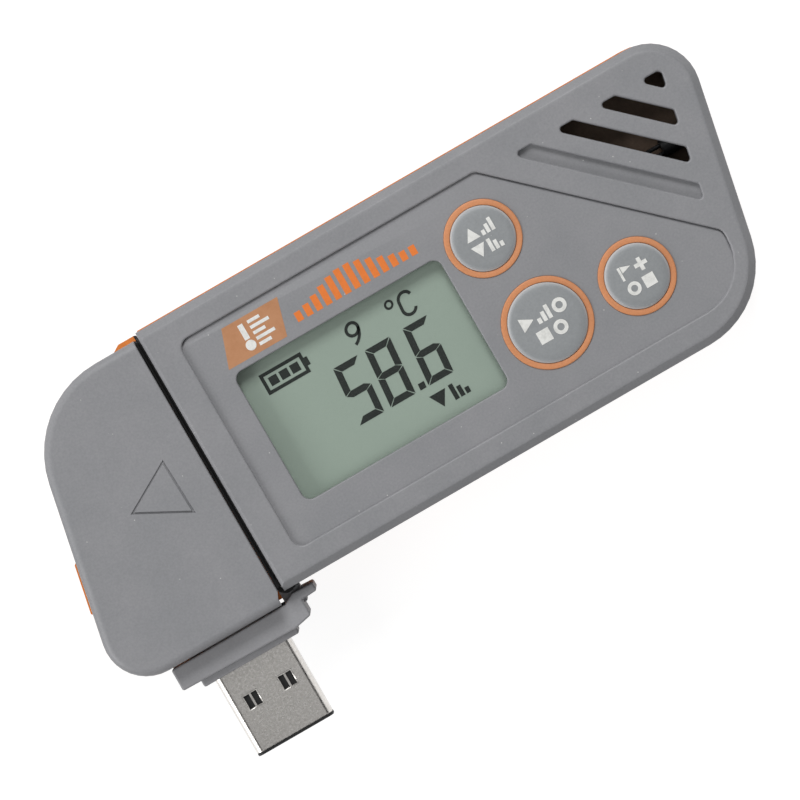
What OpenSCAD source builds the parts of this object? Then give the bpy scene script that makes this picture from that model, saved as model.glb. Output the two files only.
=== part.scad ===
// Pocket temperature data logger: a flat two-shell case with a display, three push buttons and
// slanted air vents, a pull-off cap, and a USB plug that folds out of the cap by a quarter turn.
// The origin is on the flat rear face, on the long centre line. +X runs from the cap to the vents,
// +Y points to the upper long side and +Z from the rear face to the front face. All in millimetres.

/* [Case] */
// Distance from the cap end of the case to the origin
case_start = 26.8; // [25:0.2:30]
// Length of the case on its centre line
case_l = 81.8; // [80:0.2:92]
// Width of the case across its long sides
case_w = 40.8; // [40.6:0.2:46]
// Lean of the two slanted ends, as length along X for each length along Y
end_lean_share = 0.205; // [0:0.005:0.23]
// Corner radius beside the vents
upper_corner_r = 7; // [3:0.5:9]
// Corner radius below the vents
lower_corner_r = 12.5; // [5:0.5:12.5]
// Wall, floor and front plate thickness
wall_t = 1.8; // [1.6:0.1:2.2]
// Rounding of the outer edges
edge_r = 1.5; // [0.8:0.1:1.8]
// Rounding that is left on the edge at the cap end
end_edge_r = 0.6; // [0:0.1:0.8]
// Height of the rear shell up to the parting line
rear_h = 8.5; // [7:0.1:9.1]
// How far the rear shell stands out past the front shell
rear_lip = 0.3; // [0:0.05:0.5]
// Outer diameter of the screw posts in the front shell
post_d = 4.6; // [4.2:0.1:5]
// Screw thread diameter
screw_d = 2; // [1.6:0.1:2.2]

/* [Front face] */
// Depth of the sunk panel
panel_depth = 0.5; // [0.2:0.1:0.8]
// Distance from the cap end of the case to the panel
panel_start = 4.4; // [3:0.1:5]
// Width of the rim between the panel and the long sides
panel_rim = 4.1; // [3.5:0.1:5]
// Distance from the panel to the slanted end, on the centre line
panel_end = 5.2; // [5:0.1:7]
// Distance from the cap end of the case to the panel's slanted side, at its top
panel_slant_start = 51.2; // [50:0.2:54]
// Corner radius of the panel beside the lower case corner
panel_corner_r = 7.5; // [3:0.5:9]
// Width of the display window
window_w = 32.3; // [26:0.1:33]
// Height of the display window
window_h = 20.1; // [16:0.1:21]
// Distance from the panel's left edge to the window
window_start = 4.3; // [4:0.1:5]
// Distance from the panel's upper edge to the window
window_drop = 7.6; // [6.5:0.1:8.5]
// Depth of the lens below the front face
window_depth = 1.3; // [1:0.1:1.6]

/* [Buttons] */
// Diameter of the two small buttons
small_button_d = 9.1; // [7:0.1:9.4]
// Diameter of the large button
large_button_d = 11.1; // [9:0.1:11.4]
// Height of the buttons above the panel
button_rise = 0.8; // [0.6:0.1:1.4]
// Travel of the buttons
button_travel = 0.6; // [0.3:0.1:0.9]
// Width of the coloured collar round each button
collar_w = 0.6; // [0.4:0.1:0.8]
// Height of the collars above the panel
collar_rise = 0.2; // [0:0.05:0.4]
// Distance from the window to the middle of the upper small button
select_x = 6.7; // [6.7:0.1:8]
// Distance of the upper small button below the window's upper edge
select_drop = 0.9; // [0:0.1:2]
// Distance from the window to the middle of the large button
start_x = 8.6; // [8:0.1:9.5]
// Distance of the large button above the window's lower edge
start_lift = 4.8; // [3:0.1:5]
// Distance between the large button and the right small button
mark_x = 13.8; // [13:0.1:15]
// Distance of the right small button below the large button
mark_drop = 0.6; // [0:0.1:1.5]

/* [Vents] */
// Angle of the vent slots to the long sides
vent_angle = 43.2; // [35:0.1:50]
// Distance between the slots along X
vent_pitch = 6.65; // [5.5:0.05:6.8]
// Width of a slot along X
vent_w = 3; // [1.5:0.1:3.4]
// Distance from the panel's slanted side to the first slot, along X
vent_start = 5.6; // [4:0.1:6]
// Number of slots, of which the first is a blind groove
vent_count = 4; // [1:1:4]
// Distance from the vents to the upper long side
vent_rim = 4.7; // [4:0.1:6]
// Distance from the vents to the slanted end, along X
vent_end = 4.7; // [4:0.1:6]
// Depth of the blind groove
groove_depth = 0.9; // [0.4:0.1:1.2]

/* [Cap] */
// Length of the cap on the centre line
cap_l = 21.5; // [21.5:0.1:26]
// Gap between the cap and the case
cap_gap = 0.8; // [0.6:0.1:1.2]
// How far the cap's upper side lies below the case's
cap_drop = 0.85; // [0:0.05:1]
// How far the cap's lower side hangs below the case's
cap_hang = 1.5; // [0.8:0.05:1.5]
// Corner radius at the upper end
cap_upper_r = 14; // [6:0.5:15]
// Corner radius at the lower end
cap_lower_r = 6.2; // [3:0.1:7]
// Wall thickness of the cap
cap_wall_t = 1.6; // [1.2:0.1:1.8]
// Rounding of the cap's outer edges
cap_edge_r = 1.2; // [0.6:0.1:1.4]
// Length of the engraved arrow
arrow_l = 7.65; // [5:0.05:10]
// Width of the engraved arrow
arrow_w = 8.5; // [5:0.1:12]
// Distance from the cap's open end to the arrow
arrow_start = 4.45; // [3:0.05:7]
// Width of the engraved line
arrow_line = 0.3; // [0.2:0.05:0.6]
// Depth of the engraved line
arrow_depth = 0.25; // [0.1:0.05:0.5]
// How far the grip pads stand out
pad_rise = 0.8; // [0.3:0.05:0.8]
// Length of the grip pad on the slanted end
pad_l = 8.4; // [5:0.1:12]
// Length of the tongue that guides the cap
tongue_l = 10.9; // [6:0.1:11]
// Width of the tongue
tongue_w = 5.8; // [4:0.1:6.4]
// Thickness of the tongue
tongue_t = 7; // [4:0.1:8]

/* [USB plug] */
// Width of the plug's steel shell
plug_w = 12; // [11.8:0.1:12.2]
// Thickness of the plug's steel shell
plug_t = 4.5; // [4.4:0.1:4.6]
// Length of the plug out of its carrier
plug_l = 12.2; // [11.5:0.05:13]
// Sheet thickness of the steel shell
plug_sheet = 0.3; // [0.2:0.05:0.4]
// Side of the square latch windows in the shell
plug_window = 2; // [1.5:0.1:2.5]
// Distance between the middles of the latch windows
plug_window_pitch = 5.5; // [5:0.1:6]
// Distance from the plug's tip to the latch windows
plug_window_back = 6.3; // [5:0.1:7]
// Distance from the hinge to the plug's centre line
plug_x = 9.3; // [8.8:0.1:9.6]
// Length of the carrier's flange
flange_l = 20.5; // [19.5:0.1:21]
// Depth of the flange along the plug
flange_t = 3.3; // [2.8:0.1:3.5]
// Thickness of the flange across the case
flange_h = 10; // [9:0.1:10.6]
// Length of the step between flange and plug
step_l = 15.1; // [14:0.1:15.4]
// Depth of the step along the plug
step_t = 1.1; // [0.6:0.1:1.5]
// Thickness of the step across the case
step_h = 7.8; // [6.5:0.1:8.5]
// Distance from the cap end of the case in to the hinge pin
hinge_x = 0.5; // [0.4:0.05:1]
// Distance from the lower long side of the case up to the hinge pin
hinge_y = 0.9; // [0.9:0.05:1.4]
// Diameter of the hinge pin
pin_d = 1.6; // [1.2:0.1:1.8]
// Diameter of the hinge knuckles
knuckle_d = 3; // [2.8:0.1:3.2]
// Thickness of the middle knuckle, which belongs to the plug's carrier
lug_h = 4.2; // [3:0.1:5]
// How far the fingernail fin reaches past the hinge
fin_l = 3.3; // [2.5:0.1:4]

/* [Inside] */
// Diameter of the coin cell
cell_d = 24.5; // [20:0.5:25]
// Thickness of the coin cell
cell_h = 5; // [3.2:0.1:5]
// Overall height of the battery door
door_h = 2.8; // [2.8:0.1:3.4]
// Thickness of the battery door's rim
door_rim_t = 1; // [0.7:0.1:1.1]
// Section of the battery door's sealing ring
door_seal_d = 0.6; // [0.5:0.1:0.8]
// Angle from locked to open of the battery door
door_turn_angle = 35; // [30:1:50]
// Height of the spring contact between the cell and the board
contact_h = 1.2; // [0.8:0.1:2]
// Thickness of the circuit board
board_t = 1; // [0.8:0.1:1.6]
// Distance from the cap end of the case to the far edge of the circuit board
board_end = 62; // [60:0.5:63]
// Height of the display above the circuit board
lcd_lift = 2.4; // [2:0.1:3]
// Thickness of the display glass
lcd_t = 1.8; // [1.4:0.1:2.2]
// Height of the spring domes under the buttons
dome_h = 0.5; // [0.3:0.1:0.7]
// Side of the processor
processor_w = 7; // [5:0.5:10]
// Side of the memory chip
memory_w = 4; // [3:0.5:5]
// Length of the clock crystal
crystal_l = 6; // [4:0.5:8]

/* [Hidden] */
// Facets of full circles
$fn = 64;
// Steps in a rounded corner of an outline
corner_steps = 10;
// Steps in a rounded outer edge
edge_steps = 5;
// Overlap that joins two shapes of one piece
join_t = 0.02;
// Extra length of a cut past the faces that it opens
overrun = 1;
// Gap between pieces that move past each other
run_gap = 0.3;
// Radial gap of the hinge pin in the turning knuckle
pin_gap = 0.05;
// Gap round a piece that is set into another and stays there
seat_gap = 0.1;

// Heights, stacked from the rear face up
cell_lift = 0.2;
lens_gap = 0.1;
lens_flange_t = 0.7;
cell_z = door_h + cell_lift;
board_z = cell_z + cell_h + contact_h;
board_top = board_z + board_t;
lcd_z = board_top + lcd_lift;
lens_z = lcd_z + lcd_t + lens_gap;
plate_z = lens_z + lens_flange_t;
case_t = plate_z + wall_t;
panel_z = case_t - panel_depth;

// Outlines of the case, anticlockwise from the lower corner at the cap end
case_x0 = -case_start;
case_x1 = case_x0 + case_l;
half_w = case_w / 2;
shell_x0 = case_x0 - edge_r + end_edge_r;
case_corners = [0, lower_corner_r, upper_corner_r, 0];
case_outline = between_ends(case_x0, case_x1, -half_w, half_w);
shell_outline = between_ends(shell_x0, case_x1, -half_w, half_w);
case_cavity = opened_at_cap(inset(case_outline, wall_t));
cavity_corners = shrunk(case_corners, wall_t);

// Outlines of the cap, anticlockwise from the lower corner at its slanted end
cap_x1 = case_x0 - cap_gap;
cap_x0 = cap_x1 - cap_l;
cap_top = half_w - cap_drop;
cap_bottom = -half_w - cap_hang;
cap_corners = [cap_lower_r, 0, 0, cap_upper_r];
cap_outline = [
    [end_x(cap_x0, cap_bottom), cap_bottom],
    [cap_x1 + cap_edge_r, cap_bottom],
    [cap_x1 + cap_edge_r, cap_top],
    [end_x(cap_x0, cap_top), cap_top]
];
cap_inner_x0 = cap_x0 + cap_wall_t * norm([1, end_lean_share]);
cap_cavity_bottom = cap_bottom - overrun;
cap_cavity_top = cap_top - cap_wall_t;
cap_cavity = [
    [end_x(cap_inner_x0, cap_cavity_bottom), cap_cavity_bottom],
    [cap_x1 + overrun, cap_cavity_bottom],
    [cap_x1 + overrun, cap_cavity_top],
    [end_x(cap_inner_x0, cap_cavity_top), cap_cavity_top]
];
cap_cavity_corners = [0, 0, 0, cap_upper_r - cap_wall_t];

// Front face
panel_x0 = case_x0 + panel_start;
panel_x1 = case_x1 - panel_end;
panel_top = half_w - panel_rim;
panel_slant_x = case_x0 + panel_slant_start;
panel_small_r = 1.5;
panel_outline = [
    [panel_x0, -panel_top],
    [panel_x1, -panel_top],
    [panel_x1, panel_top - (panel_x1 - panel_slant_x) * tan(vent_angle)],
    [panel_slant_x, panel_top],
    [panel_x0, panel_top]
];
panel_corners = [panel_small_r, panel_corner_r, panel_small_r, panel_small_r, panel_small_r];
window_x0 = panel_x0 + window_start;
window_x1 = window_x0 + window_w;
window_y1 = panel_top - window_drop;
window_y0 = window_y1 - window_h;
window_corner_r = 1.3;

// Buttons as place and diameter
select_button_at = [window_x1 + select_x, window_y1 - select_drop, small_button_d];
start_button_at = [window_x1 + start_x, window_y0 + start_lift, large_button_d];
mark_button_at = [start_button_at[0] + mark_x, start_button_at[1] - mark_drop, small_button_d];
buttons_at = [select_button_at, start_button_at, mark_button_at];
button_gap = 0.15;
button_flange_t = 0.7;
button_flange_w = 0.5;
button_stem_d = 2.4;
button_edge_r = 0.7;
button_crown = 0.15;
pad_sheet_t = 0.8;
pad_sheet_rim = 0.5;
pad_bridge_w = 6;
pad_sheet_z = plate_z - pad_sheet_t;
button_flange_z = pad_sheet_z - seat_gap / 2 - button_flange_t;
dome_d = 4.4;

// Vents
vent_top = half_w - vent_rim;
vent_bound_x = case_x1 - vent_end;
vent_corner_r = 0.5;

// Screws: two beside the end plate, and two as shares of the case length with their long side
end_plate_t = 1.8;
post_inset = 5.1;
post_shoulder = 0.8;
rear_post_d = post_d + 2 * post_shoulder;
end_screw_x = case_x0 + end_plate_t + seat_gap + rear_post_d / 2;
screw_shares = [[0.705, 1], [0.791, -1]];
screws_at = [
    for (side = [1, -1]) [end_screw_x, side * (half_w - post_inset)],
    for (s = screw_shares) [case_x0 + s[0] * case_l, s[1] * (half_w - post_inset)]
];
head_d = 2 * screw_d;
head_t = 1.2;
head_sink = 0.5;

// Battery well and door
cell_x_share = 0.56;
cell_x = case_x0 + cell_x_share * case_l;
door_plug_rim = 0.35;
door_plug_r = cell_d / 2 + door_plug_rim;
door_hole_r = door_plug_r + door_seal_d + seat_gap;
door_r = door_hole_r + door_rim_t;
door_lug_r = door_r - seat_gap;
door_lug_angle = 24;
door_notch_angle = 28;
door_lug_count = 3;
well_r = door_r + run_gap;
well_t = 1.5;
coin_slot_l = 12;
coin_slot_w = 2;
coin_slot_depth = 0.8;

// End plate, hinge and plug
plug_z = case_t / 2;
end_lip_t = 0.3;
end_lip_inset = 0.7;
hinge_at = [case_x0 + hinge_x, -half_w + hinge_y];
knuckle_r = knuckle_d / 2;
ear_gap = 0.2;
flange_top = cap_bottom - run_gap;
flange_bottom = flange_top - flange_t;
step_bottom = flange_bottom - step_t;
flange_reach = 0.9;
flange_x1 = hinge_at[0] + flange_reach;
flange_x0 = flange_x1 - flange_l;
flange_slope = 0.3;
flange_slope_l = 2.8;
plug_mid_x = hinge_at[0] - plug_x;
plug_tip = step_bottom - plug_l;
plug_corner_r = 1;
usb_board_t = 0.8;
usb_board_sink = 0.6;
plug_back = flange_top - usb_board_sink - usb_board_t;
notch_x1 = hinge_at[0] + knuckle_r + run_gap;
notch_y1 = hinge_at[1] + knuckle_r + run_gap;
notch_h = flange_h + 2 * run_gap;
spring_room = 0.8;
tongue_top = cap_cavity_top - spring_room;
tongue_x0 = case_x0 - end_lip_t - tongue_l;

// Places of the cap's screws, as shares of its length and of its half width
cap_screw_shares = [[0.61, 0.6], [0.71, 0.13]];
cap_screws_at = [for (s = cap_screw_shares) [cap_x1 - s[0] * cap_l, s[1] * cap_top]];

// Colours
case_grey = "#909092";
carrier_grey = "#77777A";
shell_orange = "#EE7D2D";
plastic_black = "#1B1B1D";
button_grey = "#98989A";
steel = "#B9B9B6";
gold = "#C9A24A";
board_green = "#2F6B46";
lcd_grey = "#98A298";

// Plane geometry

// X of a slanted end at height y, where x is its place on the centre line
function end_x(x, y) = x + end_lean_share * y;

// Outline between an upright end at x0 and a slanted end at x1
function between_ends(x0, x1, y0, y1) = [[x0, y0], [end_x(x1, y0), y0], [end_x(x1, y1), y1], [x0, y1]];

// The same outline run out past the cap end of the case
function opened_at_cap(p) = [
    [case_x0 - overrun, p[0][1]], p[1], p[2], [case_x0 - overrun, p[3][1]]
];

function unit(v) = v / norm(v);
function before(p, i) = unit(p[(i + len(p) - 1) % len(p)] - p[i]);
function after(p, i) = unit(p[(i + 1) % len(p)] - p[i]);
function turned(v, a) = [v[0] * cos(a) - v[1] * sin(a), v[0] * sin(a) + v[1] * cos(a)];

// Outline moved inwards by d
function inset(p, d) = [
    for (i = [0:len(p) - 1])
        p[i] + (before(p, i) + after(p, i)) * d / cross(after(p, i), before(p, i))
];

// Corner radii that go with an outline moved inwards by d, where a sharp corner stays sharp
function shrunk(r, d) = [for (x = r) x > 0 ? max(x - d, 0) : 0];

// Points of one corner, as an arc of radius r
function corner_arc(p, i, r) =
    let (
        b = before(p, i),
        a = after(p, i),
        h = acos(b * a) / 2,
        c = p[i] + unit(b + a) * r / sin(h),
        start = p[i] + b * r / tan(h) - c,
        side = sign(cross(a, b))
    )
    r <= 0 ? [p[i]] : [
        for (k = [0:corner_steps]) c + turned(start, side * (180 - 2 * h) * k / corner_steps)
    ];

// Outline with rounded corners
function rounded(p, r) = [for (i = [0:len(p) - 1]) each corner_arc(p, i, r[i])];

// Rectangle round a middle, anticlockwise from its lower left corner
function rectangle(x, y, w, h) = [
    [x - w / 2, y - h / 2], [x + w / 2, y - h / 2], [x + w / 2, y + h / 2], [x - w / 2, y + h / 2]
];

// Shared shapes

// Plate of an outline moved inwards by d, from height z up by h
module slab(p, r, d, z, h) {
    translate([0, 0, z])
        linear_extrude(h)
            polygon(rounded(inset(p, d), shrunk(r, d)));
}

// Plate with equal corner radii
module tile(p, r, z, h) {
    slab(p, [for (x = p) r], 0, z, h);
}

// Body from z0 to z1 whose front edge, or else its rear edge, is rounded
module pebble(p, r, z0, z1, edge, front) {
    bend = [for (k = [0:edge_steps]) [edge * (1 - cos(90 * k / edge_steps)), edge * (1 - sin(90 * k / edge_steps))]];
    levels = front
        ? [[0, z0], for (b = bend) [b[0], z1 - b[1]]]
        : [for (k = [edge_steps:-1:0]) [bend[k][0], z0 + bend[k][1]], [0, z1]];
    rings = [for (l = levels) [for (q = rounded(inset(p, l[0]), shrunk(r, l[0]))) [q[0], q[1], l[1]]]];
    n = len(rings[0]);
    last = len(rings) - 1;
    polyhedron(
        points = [for (g = rings) each g],
        faces = [
            [for (i = [0:n - 1]) i],
            [for (i = [n - 1:-1:0]) last * n + i],
            for (j = [0:last - 1], i = [0:n - 1])
                [j * n + i, (j + 1) * n + i, (j + 1) * n + (i + 1) % n, j * n + (i + 1) % n]
        ]
    );
}

// Ring between two radii
module ring(outer_r, inner_r, h) {
    difference() {
        cylinder(r = outer_r, h = h);
        translate([0, 0, -overrun])
            cylinder(r = inner_r, h = h + 2 * overrun);
    }
}

// Sector of a ring, centred on the +X direction
module wedge(outer_r, inner_r, angle, h) {
    intersection() {
        rotate([0, 0, 180])
            ring(outer_r, inner_r, h);
        translate([0, 0, -overrun])
            linear_extrude(h + 2 * overrun)
                polygon([
                    [0, 0],
                    2 * outer_r * [cos(angle / 2), -sin(angle / 2)],
                    2 * outer_r * [1, 0],
                    2 * outer_r * [cos(angle / 2), sin(angle / 2)]
                ]);
    }
}

// Flat bar between two points of the plane
module bar(a, b, w) {
    translate([a[0], a[1]])
        rotate([0, 0, atan2(b[1] - a[1], b[0] - a[0])])
            translate([0, -w / 2])
                square([norm([b[0] - a[0], b[1] - a[1]]), w]);
}

// Space behind the case's cap end that the outer edge rounding is cut back from
module past_end(x) {
    translate([x - 2 * half_w, -case_w, -overrun])
        cube([2 * half_w, 2 * case_w, case_t + 2 * overrun]);
}

// Space round the hinge in the lower corner of the case
module hinge_notch() {
    translate([case_x0 - overrun, -half_w - overrun - rear_lip, plug_z - notch_h / 2])
        cube([notch_x1 - case_x0 + overrun, notch_y1 + half_w + overrun + rear_lip, notch_h]);
}

// Screw from the rear: countersunk head under z, shank up to the tip
module screw(z, tip) {
    difference() {
        union() {
            translate([0, 0, z])
                cylinder(d = head_d, h = head_t);
            translate([0, 0, z + head_t - join_t])
                cylinder(d = screw_d, h = tip - z - head_t + join_t);
        }
        for (a = [0, 90])
            rotate([0, 0, a])
                translate([-head_d / 3, -head_d / 16, z - overrun])
                    cube([head_d / 1.5, head_d / 8, head_t / 2 + overrun]);
    }
}

// Case

// Edge of a vent slot that starts at x on the vents' upper line, where it meets the slanted end
function vent_foot(x) =
    let (t = (end_x(vent_bound_x, vent_top) - x) / (1 + end_lean_share * tan(vent_angle)))
    [x + t, vent_top - t * tan(vent_angle)];

// Slot number i, cut off by the slanted end if it is the corner one
function vent_points(i) =
    let (
        x = panel_slant_x + vent_start + i * vent_pitch,
        bound = end_x(vent_bound_x, vent_top)
    )
    x + vent_w < bound
        ? [[x, vent_top], vent_foot(x), vent_foot(x + vent_w), [x + vent_w, vent_top]]
        : [[x, vent_top], vent_foot(x), [bound, vent_top]];

module front_vents() {
    for (i = [0:vent_count - 1]) {
        depth = i == 0 ? groove_depth : wall_t + overrun;
        tile(vent_points(i), vent_corner_r, case_t - depth, depth + overrun);
    }
}

module front_posts() {
    for (p = screws_at)
        translate([p[0], p[1], board_z])
            cylinder(d = post_d, h = plate_z - board_z + wall_t / 2);
}

module front_shell() {
    color(case_grey)
        difference() {
            union() {
                difference() {
                    pebble(shell_outline, case_corners, rear_h, case_t, edge_r, true);
                    slab(case_cavity, cavity_corners, 0, rear_h - overrun, plate_z - rear_h + overrun);
                }
                front_posts();
            }
            past_end(case_x0);
            hinge_notch();
            slab(panel_outline, panel_corners, 0, panel_z, panel_depth + overrun);
            tile(
                rectangle((window_x0 + window_x1) / 2, (window_y0 + window_y1) / 2, window_w, window_h),
                window_corner_r, plate_z - overrun, wall_t + 2 * overrun
            );
            for (b = buttons_at)
                translate([b[0], b[1], plate_z - overrun])
                    cylinder(r = b[2] / 2 + button_gap + collar_w + seat_gap / 2, h = wall_t + 2 * overrun);
            front_vents();
            seal_ring(seat_gap / 2);
            for (p = screws_at)
                translate([p[0], p[1], board_z - overrun])
                    cylinder(d = screw_d + seat_gap, h = plate_z - board_z + overrun);
        }
}

// Sealing cord in the parting line, thicker by gap where it is its own groove
seal_inset = 0.6;
seal_w = 0.6;

module seal_ring(gap) {
    difference() {
        slab(case_outline, case_corners, seal_inset - gap, rear_h - gap, seal_w + 2 * gap);
        slab(case_outline, case_corners, seal_inset + seal_w + gap, rear_h - overrun, seal_w + 2 * overrun);
        past_end(notch_x1);
    }
}

module case_seal() {
    color(plastic_black)
        seal_ring(0);
}

module rear_posts() {
    for (p = screws_at)
        translate([p[0], p[1], wall_t / 2])
            cylinder(d = rear_post_d, h = board_z - wall_t / 2);
}

// Round wall that holds the coin cell, with four ribs that centre it
module battery_well() {
    translate([cell_x, 0, wall_t / 2])
        ring(well_r + well_t, well_r, board_z - wall_t / 2);
    for (a = [45:90:315])
        translate([cell_x, 0, 0])
            rotate([0, 0, a])
                translate([cell_d / 2 + run_gap, -well_t / 2, cell_z])
                    cube([well_r + well_t / 2 - cell_d / 2 - run_gap, well_t, board_z - cell_z]);
}

// Hole of the battery door: a wide mouth for its rim and a narrow one with bayonet notches
module door_hole() {
    translate([cell_x, 0, -overrun])
        cylinder(r = door_r + run_gap, h = door_rim_t + seat_gap + overrun);
    translate([cell_x, 0, -overrun])
        cylinder(r = door_hole_r, h = wall_t + 2 * overrun);
    for (i = [0:door_lug_count - 1])
        translate([cell_x, 0, -overrun])
            rotate([0, 0, i * 360 / door_lug_count - door_turn_angle])
                wedge(door_lug_r + seat_gap, door_hole_r / 2, door_notch_angle, wall_t + 2 * overrun);
}

// Sunk place for the blank plate on the rear face, beside the battery door
rear_plate_l = 17;
rear_plate_w = 24;
rear_plate_t = 0.2;
rear_plate_start = 5.8;
rear_plate_r = 1;
rear_plate_outline = rectangle(
    case_x0 + rear_plate_start + rear_plate_l / 2, 0, rear_plate_l, rear_plate_w
);

module rear_shell() {
    color(shell_orange)
        difference() {
            union() {
                difference() {
                    pebble(
                        inset(shell_outline, -rear_lip), shrunk(case_corners, -rear_lip),
                        0, rear_h, edge_r, false
                    );
                    slab(case_cavity, cavity_corners, 0, wall_t, rear_h - wall_t + overrun);
                }
                rear_posts();
                battery_well();
            }
            past_end(case_x0);
            hinge_notch();
            door_hole();
            tile(
                inset(rear_plate_outline, -seat_gap), rear_plate_r + seat_gap,
                -overrun, rear_plate_t + seat_gap / 2 + overrun
            );
            for (p = screws_at)
                translate([p[0], p[1], -overrun]) {
                    cylinder(d = head_d + 2 * seat_gap, h = head_sink + head_t + overrun);
                    cylinder(d = screw_d + run_gap, h = board_z + 2 * overrun);
                }
        }
}

module rear_plate() {
    color(steel)
        tile(rear_plate_outline, rear_plate_r, seat_gap / 2, rear_plate_t);
}

module case_screws() {
    color(steel)
        for (p = screws_at)
            translate([p[0], p[1], 0])
                screw(head_sink, plate_z - wall_t);
}

// Display

window_middle = [(window_x0 + window_x1) / 2, (window_y0 + window_y1) / 2];
lens_margin = 0.6;
lcd_margin = 0.6;
lcd_frame_t = 0.7;
lcd_w = window_w + 2 * lcd_margin;
lcd_h = window_h + 2 * lcd_margin;
strip_w = 2;
strip_l = 0.86 * window_w;

module display_lens() {
    color("#DDE6E0", 0.35) {
        tile(
            rectangle(window_middle[0], window_middle[1], window_w + 2 * lens_margin, window_h + 2 * lens_margin),
            window_corner_r, lens_z, lens_flange_t
        );
        tile(
            rectangle(window_middle[0], window_middle[1], window_w - 2 * seat_gap, window_h - 2 * seat_gap),
            window_corner_r - seat_gap, lens_z, case_t - window_depth - lens_z
        );
    }
}

module lcd_panel() {
    color(lcd_grey)
        tile(rectangle(window_middle[0], window_middle[1], lcd_w, lcd_h), 0, lcd_z, lcd_t);
}

module lcd_frame() {
    color(plastic_black)
        translate([0, 0, board_top])
            linear_extrude(lcd_lift + lcd_t)
                difference() {
                    polygon(rectangle(
                        window_middle[0], window_middle[1],
                        lcd_w + 2 * seat_gap + 2 * lcd_frame_t, lcd_h + 2 * seat_gap + 2 * lcd_frame_t
                    ));
                    polygon(rectangle(
                        window_middle[0], window_middle[1], lcd_w + 2 * seat_gap, lcd_h + 2 * seat_gap
                    ));
                }
}

module lcd_connectors() {
    color("#C77E8A")
        for (side = [-1, 1])
            tile(
                rectangle(window_middle[0], window_middle[1] + side * (lcd_h - strip_w) / 2, strip_l, strip_w),
                0, board_top, lcd_lift
            );
}

// Circuit board and what is on it

board_x0 = case_x0 + end_plate_t + run_gap;
board_x1 = case_x0 + board_end;
board_y = half_w - wall_t - run_gap;
board_corner_r = 1;

module circuit_board() {
    color(board_green)
        difference() {
            tile(
                [[board_x0, -board_y], [board_x1, -board_y], [board_x1, board_y], [board_x0, board_y]],
                board_corner_r, board_z, board_t
            );
            for (p = screws_at)
                translate([p[0], p[1], board_z - overrun])
                    cylinder(d = post_d + 2 * seat_gap, h = board_t + 2 * overrun);
            translate([board_x0 - overrun, -half_w, board_z - overrun])
                cube([notch_x1 - board_x0 + overrun + run_gap, notch_y1 + half_w + run_gap, board_t + 2 * overrun]);
        }
}

chip_t = 1.2;
chip_leg_l = 0.9;
chip_leg_w = 0.4;
chip_leg_t = 0.3;
chip_leg_pitch = 1;
processor_share = [0.36, 0.42];
memory_share = [0.72, 0.7];
crystal_share = [0.74, 0.28];

// Place on the board under the display, as shares of the window from its lower left corner
function under_window(s) = [window_x0 + s[0] * window_w, window_y0 + s[1] * window_h];

// Square chip with a row of legs on each side that has them
module chip(w, sides) {
    legs = floor((w - chip_leg_w) / chip_leg_pitch);
    difference() {
        translate([-w / 2, -w / 2, 0])
            cube([w, w, chip_t]);
        translate([-0.35 * w, 0.35 * w, chip_t - chip_leg_t / 2])
            cylinder(d = chip_leg_w, h = chip_t);
    }
    for (a = sides)
        rotate([0, 0, a])
            for (k = [0:legs - 1])
                translate([w / 2 - join_t, (k - (legs - 1) / 2) * chip_leg_pitch - chip_leg_w / 2, 0])
                    cube([chip_leg_l + join_t, chip_leg_w, chip_leg_t]);
}

module processor_chip() {
    color(plastic_black)
        translate([under_window(processor_share)[0], under_window(processor_share)[1], board_top])
            chip(processor_w, [0, 90, 180, 270]);
}

module memory_chip() {
    color(plastic_black)
        translate([under_window(memory_share)[0], under_window(memory_share)[1], board_top])
            chip(memory_w, [0, 180]);
}

module clock_crystal() {
    crystal_d = chip_t + chip_leg_w;
    color(steel)
        translate([under_window(crystal_share)[0], under_window(crystal_share)[1], board_top + crystal_d / 2])
            rotate([0, 90, 0]) {
                cylinder(d = crystal_d, h = crystal_l, center = true);
                translate([0, 0, -crystal_l / 2 - chip_leg_l])
                    cylinder(d = chip_leg_w, h = chip_leg_l + join_t);
            }
}

module dome_switches() {
    color(gold)
        for (b = buttons_at)
            translate([b[0], b[1], board_top]) {
                cylinder(d = dome_d, h = dome_h / 2);
                cylinder(d1 = dome_d - dome_h, d2 = dome_d / 2, h = dome_h);
            }
}

sensor_d = 2.6;
sensor_l = 3.4;
sensor_lead_d = 0.6;
sensor_hold_l = 2.5;
sensor_end_gap = 2.4;
sensor_y = 0.3 * half_w;
sensor_x0 = board_x1 - sensor_hold_l;
sensor_x1 = end_x(case_x1, sensor_y) - wall_t - sensor_end_gap;

// Bead on two leads that reach from the board to the slanted end of the case
module temperature_sensor() {
    translate([0, sensor_y, board_top + sensor_lead_d / 2])
        rotate([0, 90, 0]) {
            color(steel)
                for (side = [-1, 1])
                    translate([0, side * sensor_lead_d, sensor_x0])
                        cylinder(d = sensor_lead_d, h = sensor_x1 - sensor_l - sensor_x0);
            color(plastic_black)
                translate([0, 0, sensor_x1 - sensor_l])
                    cylinder(d = sensor_d, h = sensor_l);
        }
}

// Buttons

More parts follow.
